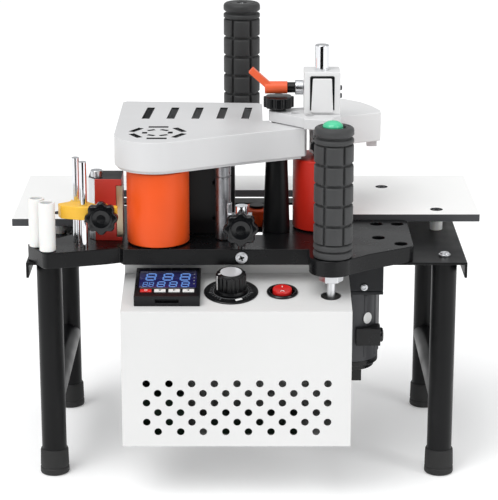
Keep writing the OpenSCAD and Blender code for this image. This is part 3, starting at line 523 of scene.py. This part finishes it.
class EB_OT_table(bpy.types.Operator):
    """Table board with its dark core on the edges, its spacers and all pan screws"""
    bl_idname = "edge_bander.table"
    bl_label = "Table board"

    def execute(self, context):
        rounded_node("table_board", 0.0004, "laminate", "laminate_core",
                     pick=lambda n, c: 0 if abs(n.z) > 0.7 else 1)
        rounded_node("table_spacers", 0.0003, "nylon")
        rounded_node("pan_screws", 0.00035, "zinc_bright", "dark_zinc",
                     pick=lambda n, c: 1 if c.z > DARK_SCREW_Z * MM else 0)
        # cross recess in the head of the front screw, drawn as two dark slabs of painted shade
        knob, low = centre_of("centre_knob")[0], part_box("pan_screws")[0]
        place = facing_front(Vector((knob.x + 0.5 * MM, low.y, FRONT_SCREW_Z * MM)))
        bm = bmesh.new()
        for turn in (20, 110):
            slab(bm, (4.2, 1.0, 0.3), place @ Matrix.Rotation(radians(turn), 4, "Z"), 0.1, 1)
        add_piece("screw_recess_painted_shade", bm, "machine", "screw_steel", "slot_shade")
        return {"FINISHED"}


class EB_OT_head(bpy.types.Operator):
    """Base plate, gear plate, posts, pillar and covers of the head"""
    bl_idname = "edge_bander.head"
    bl_label = "Head"

    def execute(self, context):
        rounded_node("base_plate", 0.0006, "plate_coat", segments=3)
        rounded_node("gear_plate", 0.0003, "aluminium", "cover_coat",
                     pick=lambda n, c: 1 if abs(n.z) < 0.5 else 0)
        rounded_node("drive_pillar", 0.0005, "black_coat")
        rounded_node("steel_posts", 0.0004, "steel")
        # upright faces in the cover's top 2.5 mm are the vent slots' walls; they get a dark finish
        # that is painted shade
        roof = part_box("main_cover")[1].z - 2.5 * MM
        rounded_node("main_cover", 0.0006, "cover_coat", "slot_shade", segments=3,
                     pick=lambda n, c: 1 if abs(n.z) < 0.5 and c.z > roof else 0)
        rounded_node("pressure_cover", 0.0006, "white_coat", segments=3)
        rounded_node("clamp_bracket", 0.0006, "white_coat", segments=3)
        rounded_node("link_arm", 0.0006, "arm_paint", segments=3)
        # the bracket's front: a black slab of painted shade for the gap, pressed tongue and two
        # side screws
        low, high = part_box("clamp_bracket")
        shaft = centre_of("pressure_shaft")[0]
        front, top = low.y, high.z
        bm = bmesh.new()
        slab(bm, (18.4, 0.5, 25.4), Matrix.Translation(Vector((shaft.x, front, top - 16.1 * MM))),
             0.1, 1)
        add_piece("bracket_gap_painted_shade", bm, "pressure", "black_plastic", "black_plastic")
        part = bmesh.new()
        bmesh.ops.create_cube(part, size=1.0)
        bmesh.ops.scale(part, vec=mm(16.6, 2.6, 26.0), verts=part.verts)
        bmesh.ops.scale(part, vec=(0.86, 1, 1), verts=[v for v in part.verts if v.co.z > 0])
        round_off(part, part.edges, 0.8 * MM, 3)
        bm = bmesh.new()
        put_into(bm, part, Matrix.Translation(Vector((shaft.x, front - 0.3 * MM, top - 17.6 * MM))))
        add_piece("bracket_tongue", bm, "pressure", "cover_white", "white_coat", weighted=True)
        bm = bmesh.new()
        for drop in (13.0, 19.0):
            turned(bm, [(1.9, -0.4), (1.9, 0.9), (1.6, 1.5), (1.0, 1.6), (0.9, 0.8), (0, 0.8)],
                   facing_right(Vector((high.x, shaft.y - 4 * MM, top - drop * MM))), 32)
        add_piece("bracket_screws", bm, "pressure", "screw_steel", "dark_zinc")
        rounded_node("sheet_brackets", 0.0004, "black_coat")
        return {"FINISHED"}


class EB_OT_grips(bpy.types.Operator):
    """Two hand grips with rounded rubber blocks on a sleeve, and the push button"""
    bl_idname = "edge_bander.grips"
    bl_label = "Hand grips"

    def one_grip(self, side, centre, finish_name, hole):
        """One grip; its cap has a hole of the given radius"""
        s = size_set()
        r, tall = GRIP_R, GRIP_TALL
        bm = bmesh.new()
        place = Matrix.Translation(Vector((centre.x, centre.y, GRIP_BASE[side] * MM)))
        # sleeve with its two bottom rings, the ring under the cap and the domed cap
        sleeve = [(10.05, 0.0), (r - 1.6, 0.0), (r - 0.5, 0.5), (r, 1.4), (r, 4.2), (r - 0.5, 5.0),
                  (r - 2.2, 5.3), (r - 2.2, 6.2), (r - 0.6, 6.6), (r - 0.1, 7.3), (r - 0.1, 9.7),
                  (r - 0.7, 10.4), (r - 2.3, 10.8), (r - 2.3, tall - 12.2), (r - 0.7, tall - 11.9),
                  (r - 0.05, tall - 11.2), (r - 0.05, tall - 9.2), (r - 0.7, tall - 8.5),
                  (r - 2.4, tall - 8.2), (r - 2.4, tall - 6.6), (r - 0.8, tall - 6.3),
                  (r, tall - 5.5), (r, tall - 2.6), (r - 0.4, tall - 1.3), (r - 1.3, tall - 0.5),
                  (r - 2.6, tall - 0.1), (r - 3.2, tall - 0.1), (r - 3.5, tall - 0.5),
                  (r - 4.3, tall - 0.5), (r - 4.6, tall - 0.1), (hole + 0.8, tall),
                  (hole + 0.1, tall - 0.4), (hole, tall - 1.0), (hole, tall - 7.8),
                  (10.05, tall - 7.8)]
        turned(bm, sleeve, place, 96, closed=True)
        # rows of blocks
        z0, z1 = 11.4, tall - 12.9
        rows, columns = s.grip_rows, s.grip_columns
        groove = s.grip_groove / MM
        pitch = (z1 - z0 + groove) / rows
        span = 2 * pi / columns - groove / r
        for row in range(rows):
            low = z0 + row * pitch
            high = low + pitch - groove
            for column in range(columns):
                part = bmesh.new()
                loop = [part.verts.new((a * MM, 0, b * MM)) for a, b in
                        ((r - 2.8, low), (r, low), (r, high), (r - 2.8, high))]
                face = part.faces.new(loop)
                bmesh.ops.spin(part, geom=[face] + list(face.edges) + loop, cent=(0, 0, 0),
                               axis=(0, 0, 1), angle=span, steps=8, use_duplicate=False)
                bmesh.ops.recalc_face_normals(part, faces=part.faces)
                outer = [e for e in part.edges if len(e.link_faces) == 2
                         and e.calc_face_angle(0.0) > radians(50)
                         and min(v.co.xy.length for v in e.verts) > (r - 1.0) * MM]
                round_off(part, outer, 1.15 * MM, 3)
                turn = Matrix.Rotation(2 * pi * column / columns + pi / 6 - span / 2, 4, "Z")
                put_into(bm, part, place @ turn)
        add_piece(side + "_grip", bm, "machine", "grip_rubber", finish_name,
                  replaces=["hand_grips"], smooth=50)

    def execute(self, context):
        low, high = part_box("hand_grips")
        front = Vector((high.x - GRIP_R * MM, low.y + GRIP_R * MM, 0))
        rear = Vector((low.x + GRIP_R * MM, high.y - GRIP_R * MM, 0))
        self.one_grip("front", front, "grip_rubber", 8.6)
        # the rear grip takes the darker copy of the grip rubber, which is painted shade
        self.one_grip("rear", rear, "grip_rubber_painted_shade", 4.0)
        # socket screw in the rear cap
        bm = bmesh.new()
        cap_z = (GRIP_BASE["rear"] + GRIP_TALL) * MM
        turned(bm, [(0, -1.4), (1.7, -1.4), (1.9, -0.9), (3.3, -0.9), (3.7, -1.3), (3.8, -4),
                    (0, -4)], Matrix.Translation(Vector((rear.x, rear.y, cap_z))), 36)
        add_piece("rear_grip_screw", bm, "machine", "screw_steel", "zinc")
        # push button: dome with a fine collar
        bm = bmesh.new()
        c, low, high = centre_of("green_button")
        z0, z1 = low.z / MM, high.z / MM
        r = 7.5
        dome = [(r * cos(radians(a)), z1 - 4.6 + 4.6 * sin(radians(a))) for a in range(8, 91, 8)]
        turned(bm, [(0, z0), (r - 0.5, z0), (r, z0 + 0.5), (r, z1 - 5.2), (r - 0.25, z1 - 5.0),
                    (r - 0.25, z1 - 4.7)] + dome + [(0, z1)],
               Matrix.Translation(Vector((c.x, c.y, 0))), 72)
        add_piece("push_button_dome", bm, "button", "green_plastic", "green",
                  replaces=["green_button"])
        # the front grip's stud, its hexagon nut and washer
        rounded_node("grip_cores", 0.0004, "zinc_bright")
        return {"FINISHED"}


class EB_OT_rollers(bpy.types.Operator):
    """Feed, glue and pressure rollers, guide rollers, support wheel and their pins"""
    bl_idname = "edge_bander.rollers"
    bl_label = "Rollers"

    def tube(self, name, node, finish_name, lip, steps, hub):
        """A roller's sleeve with rounded rims, bored to the hub's radius"""
        c, low, high = centre_of(node)
        r = (high.x - low.x) / 2 / MM
        z0, z1 = low.z / MM, high.z / MM
        bm = bmesh.new()
        arc = [(lip * cos(radians(a)), lip * sin(radians(a))) for a in (0, 30, 60, 90)]
        bottom = [(r - lip + across, z0 + lip - up) for across, up in reversed(arc)]
        top = [(r - lip + across, z1 - lip + up) for across, up in arc]
        turned(bm, [(hub, z0)] + bottom + top + [(hub, z1)],
               Matrix.Translation(Vector((c.x, c.y, 0))), steps, closed=True)
        add_piece(name, bm, BODY_OF[node], SLOT_OF[node], finish_name, replaces=[node])

    def execute(self, context):
        low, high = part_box("feed_shaft")
        self.tube("feed_roller_sleeve", "feed_roller", "feed_rubber", 0.9, 128,
                  (high.x - low.x) / 2 / MM)
        self.tube("pressure_roller_sleeve", "pressure_roller", "press_rubber", 0.9, 128, 5.3)
        self.tube("support_wheel_tyre", "support_wheel", "wheel_rubber", 1.6, 96, 3.1)
        rounded_node("feed_shaft", 0.0002, "aluminium")
        rounded_node("glue_roller", 0.0002, "knurled")
        rounded_node("drive_shaft", 0.0002, "steel")
        for node, name in (("guide_roller_front", "front_guide_sleeve"),
                           ("guide_roller_rear", "rear_guide_sleeve")):
            c, low, high = centre_of(node)
            z0, z1 = low.z / MM, high.z / MM
            r = (high.x - low.x) / 2 / MM
            bm = bmesh.new()
            turned(bm, [(2.6, z0), (r - 0.6, z0), (r - 0.15, z0 + 0.2), (r, z0 + 0.7),
                        (r, z1 - 0.7), (r - 0.15, z1 - 0.2), (r - 0.6, z1), (4.8, z1),
                        (4.5, z1 - 0.3), (4.5, z1 - SINK), (2.6, z1 - SINK)],
                   Matrix.Translation(Vector((c.x, c.y, 0))), 72, closed=True)
            add_piece(name, bm, BODY_OF[node], "nylon_white", "nylon", replaces=[node])
        rounded_node("guide_posts", 0.0003, "zinc")
        rounded_node("chrome_rods", 0.0004, "chrome")
        rounded_node("pressure_shaft", 0.0007, "chrome", segments=3)
        return {"FINISHED"}


class EB_OT_tape_side(bpy.types.Operator):
    """Tape guide, cutter block, blade, centre clamp and glue pot"""
    bl_idname = "edge_bander.tape_side"
    bl_label = "Tape guide and cutter"

    def execute(self, context):
        rounded_node("tape_guide", 0.0005, "yellow", segments=3)
        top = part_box("cutter_block")[1].z
        rounded_node("cutter_block", 0.0005, "cutter_paint", "aluminium", "black_coat", segments=3,
                     pick=lambda n, c: 1 if n.x < -0.5 or c.z > top - 4.9 * MM
                     else 2 if n.z > 0.7 else 0)
        rounded_node("cutter_blade", 0.0001, "brass")
        rounded_node("centre_clamp", 0.0005, "aluminium", segments=3)
        rounded_node("glue_pot", 0.0006, "glue_coat", segments=3)
        # solid glue lying in the pot
        c, high = centre_of("glue_pot")[0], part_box("glue_pot")[1]
        bm = bmesh.new()
        pool = Vector((c.x, c.y + 0.5 * MM, high.z - 14 * MM))
        slab(bm, (28, 27, 5), Matrix.Translation(pool), 1.6, 3)
        for v in bm.verts:
            v.co.z += 0.5 * MM * sin(v.co.x * 420) * cos(v.co.y * 380)
        add_piece("glue_charge", bm, "machine", "glue_black", "glue")
        return {"FINISHED"}


class EB_OT_knobs(bpy.types.Operator):
    """Star knobs and the clamp lever"""
    bl_idname = "edge_bander.knobs"
    bl_label = "Knobs and lever"

    def star(self, name, node, shank):
        """Knob whose face looks to the front; its shank reaches the node's far end"""
        c, low, high = centre_of(node)
        r = (high.x - low.x) / 2 / MM
        depth = (high.y - low.y) / MM
        tall, lobes = 8.0, 8
        place = facing_front(Vector((c.x, low.y, c.z)))
        bm = bmesh.new()
        fluted(bm, r, -tall, -0.7, lobes, r * 0.15, 1.5, place, 12)
        # crowned face with a shallow dish and a socket
        turned(bm, [(r * 0.70, -1.8), (r * 0.66, -0.35), (r * 0.58, -0.02), (r * 0.50, -0.02),
                    (r * 0.42, -0.5), (r * 0.20, -0.8), (r * 0.17, -1.0), (r * 0.17, -3.2),
                    (0, -3.2)], place, 56)
        turned(bm, [(0, -depth), (shank, -depth), (shank, -tall - 0.2), (0, -tall - 0.2)],
               place, 40)
        add_piece(name, bm, BODY_OF[node], SLOT_OF[node], "black_gloss", replaces=[node], smooth=40)

    def execute(self, context):
        self.star("centre_knob_body", "centre_knob", 2.0)
        self.star("tape_knob_body", "tape_knob", 2.5)
        for node in ("side_knob", "top_knob"):
            rounded_node(node, 0.0006, "black_gloss", segments=3, least=40)
        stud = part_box("clamp_lever")[1].x - LEVER_STUD * MM
        collar, end = (stud - at * MM for at in LEVER_COLLAR)
        rounded_node("clamp_lever", 0.0004, "orange", "black_plastic", "zinc", segments=3,
                     pick=lambda n, c: 0 if c.x < collar else 1 if c.x < end else 2)
        return {"FINISHED"}


class EB_OT_control_box(bpy.types.Operator):
    """Control box: folded shell, back panel, inlet and board"""
    bl_idname = "edge_bander.control_box"
    bl_label = "Control box"

    def execute(self, context):
        rounded_node("box_shell", 0.0004, "box_coat", segments=3)
        rounded_node("box_back_panel", 0.0003, "box_coat")
        rounded_node("power_inlet", 0.0003, "black_plastic")
        rounded_node("control_board", 0.0002, "board")
        return {"FINISHED"}


class EB_OT_control_panel(bpy.types.Operator):
    """Temperature controller, speed dial and rocker switch on the sloping panel"""
    bl_idname = "edge_bander.control_panel"
    bl_label = "Control panel"

    def on_meter(self, x, s, h):
        """Placing matrix on the controller's face, from its centre, in mm"""
        return on_panel(METER_AT[0] + x, METER_AT[1] + s, METER_PROUD + h)

    def eight(self, bm, place, wide, tall):
        """Adds the seven segments of a digit, each leaning a little"""
        t = wide * 0.20
        level, upright = (wide - t * 0.7, t, 0.25), (t, tall / 2 - t * 0.7, 0.25)
        for x, y, size in ((0, tall / 2, level), (wide / 2, tall / 4, upright),
                           (wide / 2, -tall / 4, upright), (0, -tall / 2, level),
                           (-wide / 2, -tall / 4, upright), (-wide / 2, tall / 4, upright),
                           (0, 0, level)):
            slab(bm, size, place @ Matrix.Translation(mm(x + y * 0.10, y, 0)), t * 0.32, 1)

    def make_controller(self):
        """Case, window, digits, lamps beside the digits and the line under the window"""
        rounded_node("meter_body", 0.0005, "case_black", segments=3)
        bm = bmesh.new()
        slab(bm, (42.2, 29.2, 0.5), self.on_meter(0, 6.0, -0.56), 0.2, 2)
        add_piece("meter_window", bm, "machine", "black_plastic", "window")
        bm = bmesh.new()
        for i in range(3):
            self.eight(bm, self.on_meter(-12.6 + 12.6 * i, 8.4, -0.25), 6.4, 10.4)
            self.eight(bm, self.on_meter(-4.8 + 8.9 * i, -3.6, -0.25), 5.0, 8.0)
        for i in range(2):
            self.eight(bm, self.on_meter(-16.4 + 4.4 * i, -3.6, -0.25), 3.0, 7.0)
        add_piece("meter_digits", bm, "machine", "black_plastic", "blue_digits")
        bm = bmesh.new()
        for k in range(4):
            turned(bm, [(0, 0.1), (0.45, 0.1), (0.6, 0), (0.6, -0.3)],
                   self.on_meter(19.3, 13.0 - 5.2 * k, -0.15), 20)
        slab(bm, (40, 0.35, 0.12), self.on_meter(0, -10.2, 0.03), 0.05, 1)
        add_piece("meter_marks", bm, "machine", "black_plastic", "mark_grey")

    def make_keys(self):
        """Keys under the window; the red one has a ring on it, the others an arrow"""
        for node, turn in (("meter_key_red", None), ("meter_key_left", 180),
                           ("meter_key_down", -90), ("meter_key_up", 90)):
            ring = turn is None
            rounded_node(node, 0.0005, "red" if ring else "white_plastic", segments=3)
            c, low, high = centre_of(node)
            s, h = panel_place(c)
            half = ((high.z - low.z) / MM - KEY_WIDE * sin(PANEL_TILT)) / 2 / cos(PANEL_TILT)
            place = on_panel(c.x / MM, s, h + half - 0.02)
            bm = bmesh.new()
            if ring:
                turned(bm, [(0.75, -0.1), (0.8, 0.1), (1.15, 0.1), (1.2, -0.1)], place, 28,
                       closed=True)
            else:
                part = bmesh.new()
                bmesh.ops.create_circle(part, cap_ends=True, radius=1.5 * MM, segments=3)
                raised(part, 0.12)
                break_edges(part, 0.04 * MM, 1)
                put_into(bm, part, place @ Matrix.Rotation(radians(turn), 4, "Z"))
            add_piece(node + "_mark", bm, BODY_OF[node], SLOT_OF[node],
                      "mark_white" if ring else "black_plastic")

    def make_dial(self):
        """Dial plate with its scale and a white mark"""
        bm = bmesh.new()
        turned(bm, [(3.8, 0.0), (19.7, 0.0), (20.0, 0.25), (20.0, 0.9), (19.7, 1.2), (3.8, 1.2)],
               on_panel(*DIAL_AT), 128, closed=True)
        add_piece("dial_disc", bm, "machine", "black_plastic", "black_plastic",
                  replaces=["dial_plate"])
        bm = bmesh.new()
        for k in range(31):
            a = radians(240 - 10 * k)
            long = k % 5 == 0
            r0, r1 = 14.2, 16.6 if long else 15.6
            place = (on_panel(*DIAL_AT, 1.25) @ Matrix.Rotation(a, 4, "Z")
                     @ Matrix.Translation(mm((r0 + r1) / 2, 0, 0)))
            slab(bm, (r1 - r0, 0.42 if long else 0.28, 0.16), place, 0.05, 1)
        turned(bm, [(13.1, -0.05), (13.1, 0.06), (13.4, 0.06), (13.4, -0.05)],
               on_panel(*DIAL_AT, 1.22), 96, closed=True)
        add_piece("dial_scale", bm, "machine", "black_plastic", "mark_grey")
        bm = bmesh.new()
        place = (on_panel(*DIAL_AT, 1.28) @ Matrix.Rotation(radians(-68), 4, "Z")
                 @ Matrix.Translation(mm(15.4, 0, 0)) @ Matrix.Rotation(radians(96), 4, "Z"))
        slab(bm, (5.4, 2.0, 0.2), place, 0.3, 2)
        add_piece("dial_mark", bm, "machine", "black_plastic", "mark_white")

    def make_speed_knob(self):
        """Fluted knob with its shaft, spun insert and index line"""
        bm = bmesh.new()
        base = on_panel(*DIAL_AT)
        turned(bm, [(0, 1.5), (11.6, 1.5), (11.9, 1.8), (11.9, 3.4), (11.4, 4.2), (0, 4.2)],
               base, 96)
        fluted(bm, 11.2, 3.8, 15.6, 18, 0.9, 0.6, base, 8)
        turned(bm, [(10.2, 15.0), (9.9, 16.4), (9.2, 16.9), (8.3, 17.0), (8.1, 16.7), (0, 16.7)],
               base, 96)
        turned(bm, [(0, -9), (3.0, -9), (3.0, 2.0), (0, 2.0)], base, 32)
        add_piece("speed_knob_body", bm, "speed", "black_plastic", "black_plastic",
                  replaces=["speed_knob"], smooth=40)
        bm = bmesh.new()
        rings = [(7.9 - 0.32 * k, 17.0 + (0.05 if k % 2 else 0.0)) for k in range(1, 24)]
        turned(bm, [(8.0, 16.5), (7.9, 17.0)] + rings + [(0, 17.0)], base, 96)
        add_piece("speed_knob_insert", bm, "speed", "aluminium", "spun", smooth=20)
        bm = bmesh.new()
        pointing = base @ Matrix.Rotation(radians(205), 4, "Z")
        slab(bm, (2.0, 0.9, 0.3), pointing @ Matrix.Translation(mm(9.2, 0, 16.95)), 0.08, 1)
        slab(bm, (0.5, 0.9, 11.2), pointing @ Matrix.Translation(mm(11.2, 0, 10.0)), 0.1, 1)
        add_piece("speed_knob_index", bm, "speed", "white_plastic", "mark_white")

    def make_rocker(self):
        """Rocker switch: bezel ring, dished cap on its pivot, and the marks on the cap"""
        place = on_panel(*ROCKER_AT)
        bm = bmesh.new()
        turned(bm, [(8.85, -16), (10.0, -16), (10.0, 0.0), (11.2, 0.0), (11.55, 0.4), (11.5, 1.2),
                    (11.0, 1.8), (10.2, 2.0), (9.2, 1.7), (8.85, 1.2)], place, 96, closed=True)
        add_piece("rocker_ring", bm, "machine", "black_plastic", "black_gloss",
                  replaces=["rocker_bezel"])
        bm = bmesh.new()
        turned(bm, [(0, -1.9), (6.9, -1.9), (7.2, -1.4), (7.2, 2.6), (6.95, 3.25), (6.4, 3.5),
                    (5.6, 3.35), (3.0, 2.85), (0, 2.7)], place, 96)
        turned(bm, [(0, -3.9), (1.95, -3.9), (1.95, 3.9), (0, 3.9)],
               place @ Matrix.Rotation(pi / 2, 4, "Y"), 32)
        add_piece("rocker_cap", bm, "rocker", "red_plastic", "red", replaces=["rocker_key"])
        bm = bmesh.new()
        x, s = ROCKER_AT
        slab(bm, (0.7, 2.9, 0.14), on_panel(x, s + 4.1, 3.12), 0.05, 1)
        turned(bm, [(1.0, -0.1), (1.0, 0.06), (1.5, 0.06), (1.5, -0.1)],
               on_panel(x, s - 4.1, 3.1), 32, closed=True)
        add_piece("rocker_marks", bm, "rocker", "white_plastic", "mark_white")

    def execute(self, context):
        self.make_controller()
        self.make_keys()
        self.make_dial()
        self.make_speed_knob()
        self.make_rocker()
        return {"FINISHED"}


class EB_OT_drive(bpy.types.Operator):
    """Gear train, gearbox and motor under the base plate"""
    bl_idname = "edge_bander.drive"
    bl_label = "Gears and motor"

    def execute(self, context):
        rounded_node("gearbox_case", 0.0008, "motor_coat", segments=3)
        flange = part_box("motor_body")[1].z - 4 * MM
        rounded_node("motor_body", 0.0004, "motor_coat", "can_coat",
                     pick=lambda n, c: 1 if c.z < flange else 0)
        rounded_node("motor_end_cap", 0.0005, "black_plastic", segments=3)
        rounded_node("idler_large", 0.00015, "gear_nylon")
        rounded_node("idler_small", 0.00015, "gear_nylon")
        rounded_node("reduction_gear", 0.00012, "gear_brass")
        rounded_node("motor_rotor", 0.00012, "rotor")
        # plain oval plate on the motor's round side, and the case screws
        low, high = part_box("gearbox_case")
        turn = PLATE_TURN
        bm = bmesh.new()
        part = bmesh.new()
        bmesh.ops.create_circle(part, cap_ends=True, radius=4.0 * MM, segments=64)
        bmesh.ops.scale(part, vec=(0.95, 1.12, 1.0), verts=part.verts)
        raised(part, 0.3)
        break_edges(part, 0.1 * MM, 2)
        spot = mm(MOTOR_XY[0] + MOTOR_R * cos(turn), MOTOR_XY[1] + MOTOR_R * sin(turn),
                  low.z / MM - PLATE_DROP)
        put_into(bm, part, Matrix.Translation(spot) @ Matrix.Rotation(turn + pi / 2, 4, "Z")
                 @ Matrix.Rotation(pi / 2, 4, "X"))
        add_piece("rating_plate", bm, "machine", "motor_black", "mark_white")
        bm = bmesh.new()
        for dx, dz in ((-14.5, 3.6), (-36.0, 3.6), (-14.5, 23.0), (-70.0, 3.6)):
            place = facing_front(Vector((high.x + dx * MM, low.y, low.z + dz * MM)))
            turned(bm, [(2.9, -0.5), (2.9, 0.5), (2.6, 1.1), (1.9, 1.5), (1.5, 1.55), (1.45, 0.7),
                        (0, 0.7)], place, 32)
        add_piece("case_screws", bm, "machine", "screw_steel", "zinc")
        # round cap that closes the brush holder
        low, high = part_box("motor_end_cap")
        bm = bmesh.new()
        turned(bm, [(0, -0.5), (5.4, -0.5), (5.6, 0.6), (5.4, 1.5), (4.6, 2.2), (3.0, 2.5),
                    (2.2, 2.5), (2.0, 1.9), (0, 1.9)],
               facing_right(mm(MOTOR_XY[0] + BRUSH_CAP_X, low.y / MM + 6.5, high.z / MM - 7)), 48)
        add_piece("brush_cap", bm, "machine", "black_plastic", "black_gloss")
        return {"FINISHED"}


class EB_OT_studio(bpy.types.Operator):
    """Pale floor, soft lights and the camera"""
    bl_idname = "edge_bander.studio"
    bl_label = "Studio"

    def light(self, name, at, size, power):
        """A soft box that looks at the machine"""
        data = bpy.data.lights.new(name, "AREA")
        data.shape = "RECTANGLE"
        data.size, data.size_y = size
        data.energy = power
        lamp = bpy.data.objects.new(name, data)
        lamp.location = at
        lamp.rotation_euler = (Vector(LIGHTS_AIM) - Vector(at)).to_track_quat("-Z", "Y").to_euler()
        bpy.context.scene.collection.objects.link(lamp)

    def dark_card(self):
        """Dark card in front of the machine that shows only as a reflection in glossy parts"""
        bm = bmesh.new()
        bmesh.ops.create_grid(bm, x_segments=1, y_segments=1, size=0.5)
        bmesh.ops.scale(bm, vec=CARD_SIZE, verts=bm.verts)
        mesh = bpy.data.meshes.new("dark_card")
        bm.to_mesh(mesh)
        bm.free()
        mesh.materials.append(new_material("card_black", (0.01, 0.01, 0.01), 0.9,
                                           Specular_IOR_Level=0.0))
        card = bpy.data.objects.new("dark_card", mesh)
        card.location = CARD_AT
        card.rotation_euler = (radians(90), 0, 0)
        card.visible_camera = card.visible_diffuse = card.visible_shadow = False
        bpy.context.scene.collection.objects.link(card)

    def execute(self, context):
        scene = bpy.context.scene
        bm = bmesh.new()
        bmesh.ops.create_grid(bm, x_segments=1, y_segments=1, size=6.0)
        mesh = bpy.data.meshes.new("floor")
        bm.to_mesh(mesh)
        bm.free()
        floor = bpy.data.objects.new("floor", mesh)
        floor.location.z = FLOOR_Z
        scene.collection.objects.link(floor)
        pale = (0.95, 0.95, 0.95)
        mat = new_material("pale_floor", pale, 0.8, Specular_IOR_Level=0.2,
                           Emission_Color=(1, 1, 1, 1), Emission_Strength=0.14)
        vary(mat, pale, noise_on(mat, 2.0), 0.01)
        mesh.materials.append(mat)
        self.dark_card()
        world = bpy.data.worlds.new("soft_room")
        world.use_nodes = True
        background = world.node_tree.nodes["Background"]
        background.inputs["Color"].default_value = (0.98, 0.99, 1.0, 1)
        background.inputs["Strength"].default_value = 0.52
        scene.world = world
        self.light("key", (-0.9, -1.2, 1.7), (0.9, 0.9), 7)
        self.light("fill", (1.3, -0.9, 1.0), (0.5, 1.4), 6)
        self.light("top", (0.1, 0.5, 1.9), (1.2, 1.2), 3)
        sun = bpy.data.lights.new("sun", "SUN")
        sun.energy = 1.55
        sun.angle = radians(50)
        lamp = bpy.data.objects.new("sun", sun)
        lamp.rotation_euler = (radians(24), radians(-18), 0)
        scene.collection.objects.link(lamp)
        camera = bpy.data.cameras.new("camera")
        camera.lens = size_set().lens
        camera.sensor_width = 36.0
        camera.clip_end = 50
        eye = bpy.data.objects.new("camera", camera)
        eye.location = EYE_AT
        eye.rotation_euler = (radians(90 - EYE_DOWN), 0, 0)
        scene.collection.objects.link(eye)
        scene.camera = eye
        scene.view_settings.view_transform = "Standard"
        return {"FINISHED"}


class EB_PT_panel(bpy.types.Panel):
    """Lists the settings and the makers"""
    bl_idname = "EB_PT_panel"
    bl_label = "Edge Bander"
    bl_space_type = "VIEW_3D"
    bl_region_type = "UI"
    bl_category = "Edge Bander"

    def draw(self, context):
        for group in (context.scene.eb_paints, context.scene.eb_sizes):
            for key in group.__annotations__:
                self.layout.prop(group, key)
        for maker in MAKERS:
            self.layout.operator(maker.bl_idname)


MAKERS = (EB_OT_studio, EB_OT_stand, EB_OT_table, EB_OT_head, EB_OT_grips, EB_OT_rollers,
          EB_OT_tape_side, EB_OT_knobs, EB_OT_control_box, EB_OT_control_panel, EB_OT_drive)
CLASSES = (PaintSettings, SizeSettings) + MAKERS + (EB_PT_panel,)


def register():
    for cls in CLASSES:
        bpy.utils.register_class(cls)
    bpy.types.Scene.eb_paints = bpy.props.PointerProperty(type=PaintSettings)
    bpy.types.Scene.eb_sizes = bpy.props.PointerProperty(type=SizeSettings)


def unregister():
    del bpy.types.Scene.eb_sizes
    del bpy.types.Scene.eb_paints
    for cls in reversed(CLASSES):
        bpy.utils.unregister_class(cls)


def main():
    register()
    bpy.ops.edge_bander.studio()
    bpy.ops.edge_bander.stand()
    bpy.ops.edge_bander.table()
    bpy.ops.edge_bander.head()
    bpy.ops.edge_bander.grips()
    bpy.ops.edge_bander.rollers()
    bpy.ops.edge_bander.tape_side()
    bpy.ops.edge_bander.knobs()
    bpy.ops.edge_bander.control_box()
    bpy.ops.edge_bander.control_panel()
    bpy.ops.edge_bander.drive()


if __name__ == "__main__":
    main()
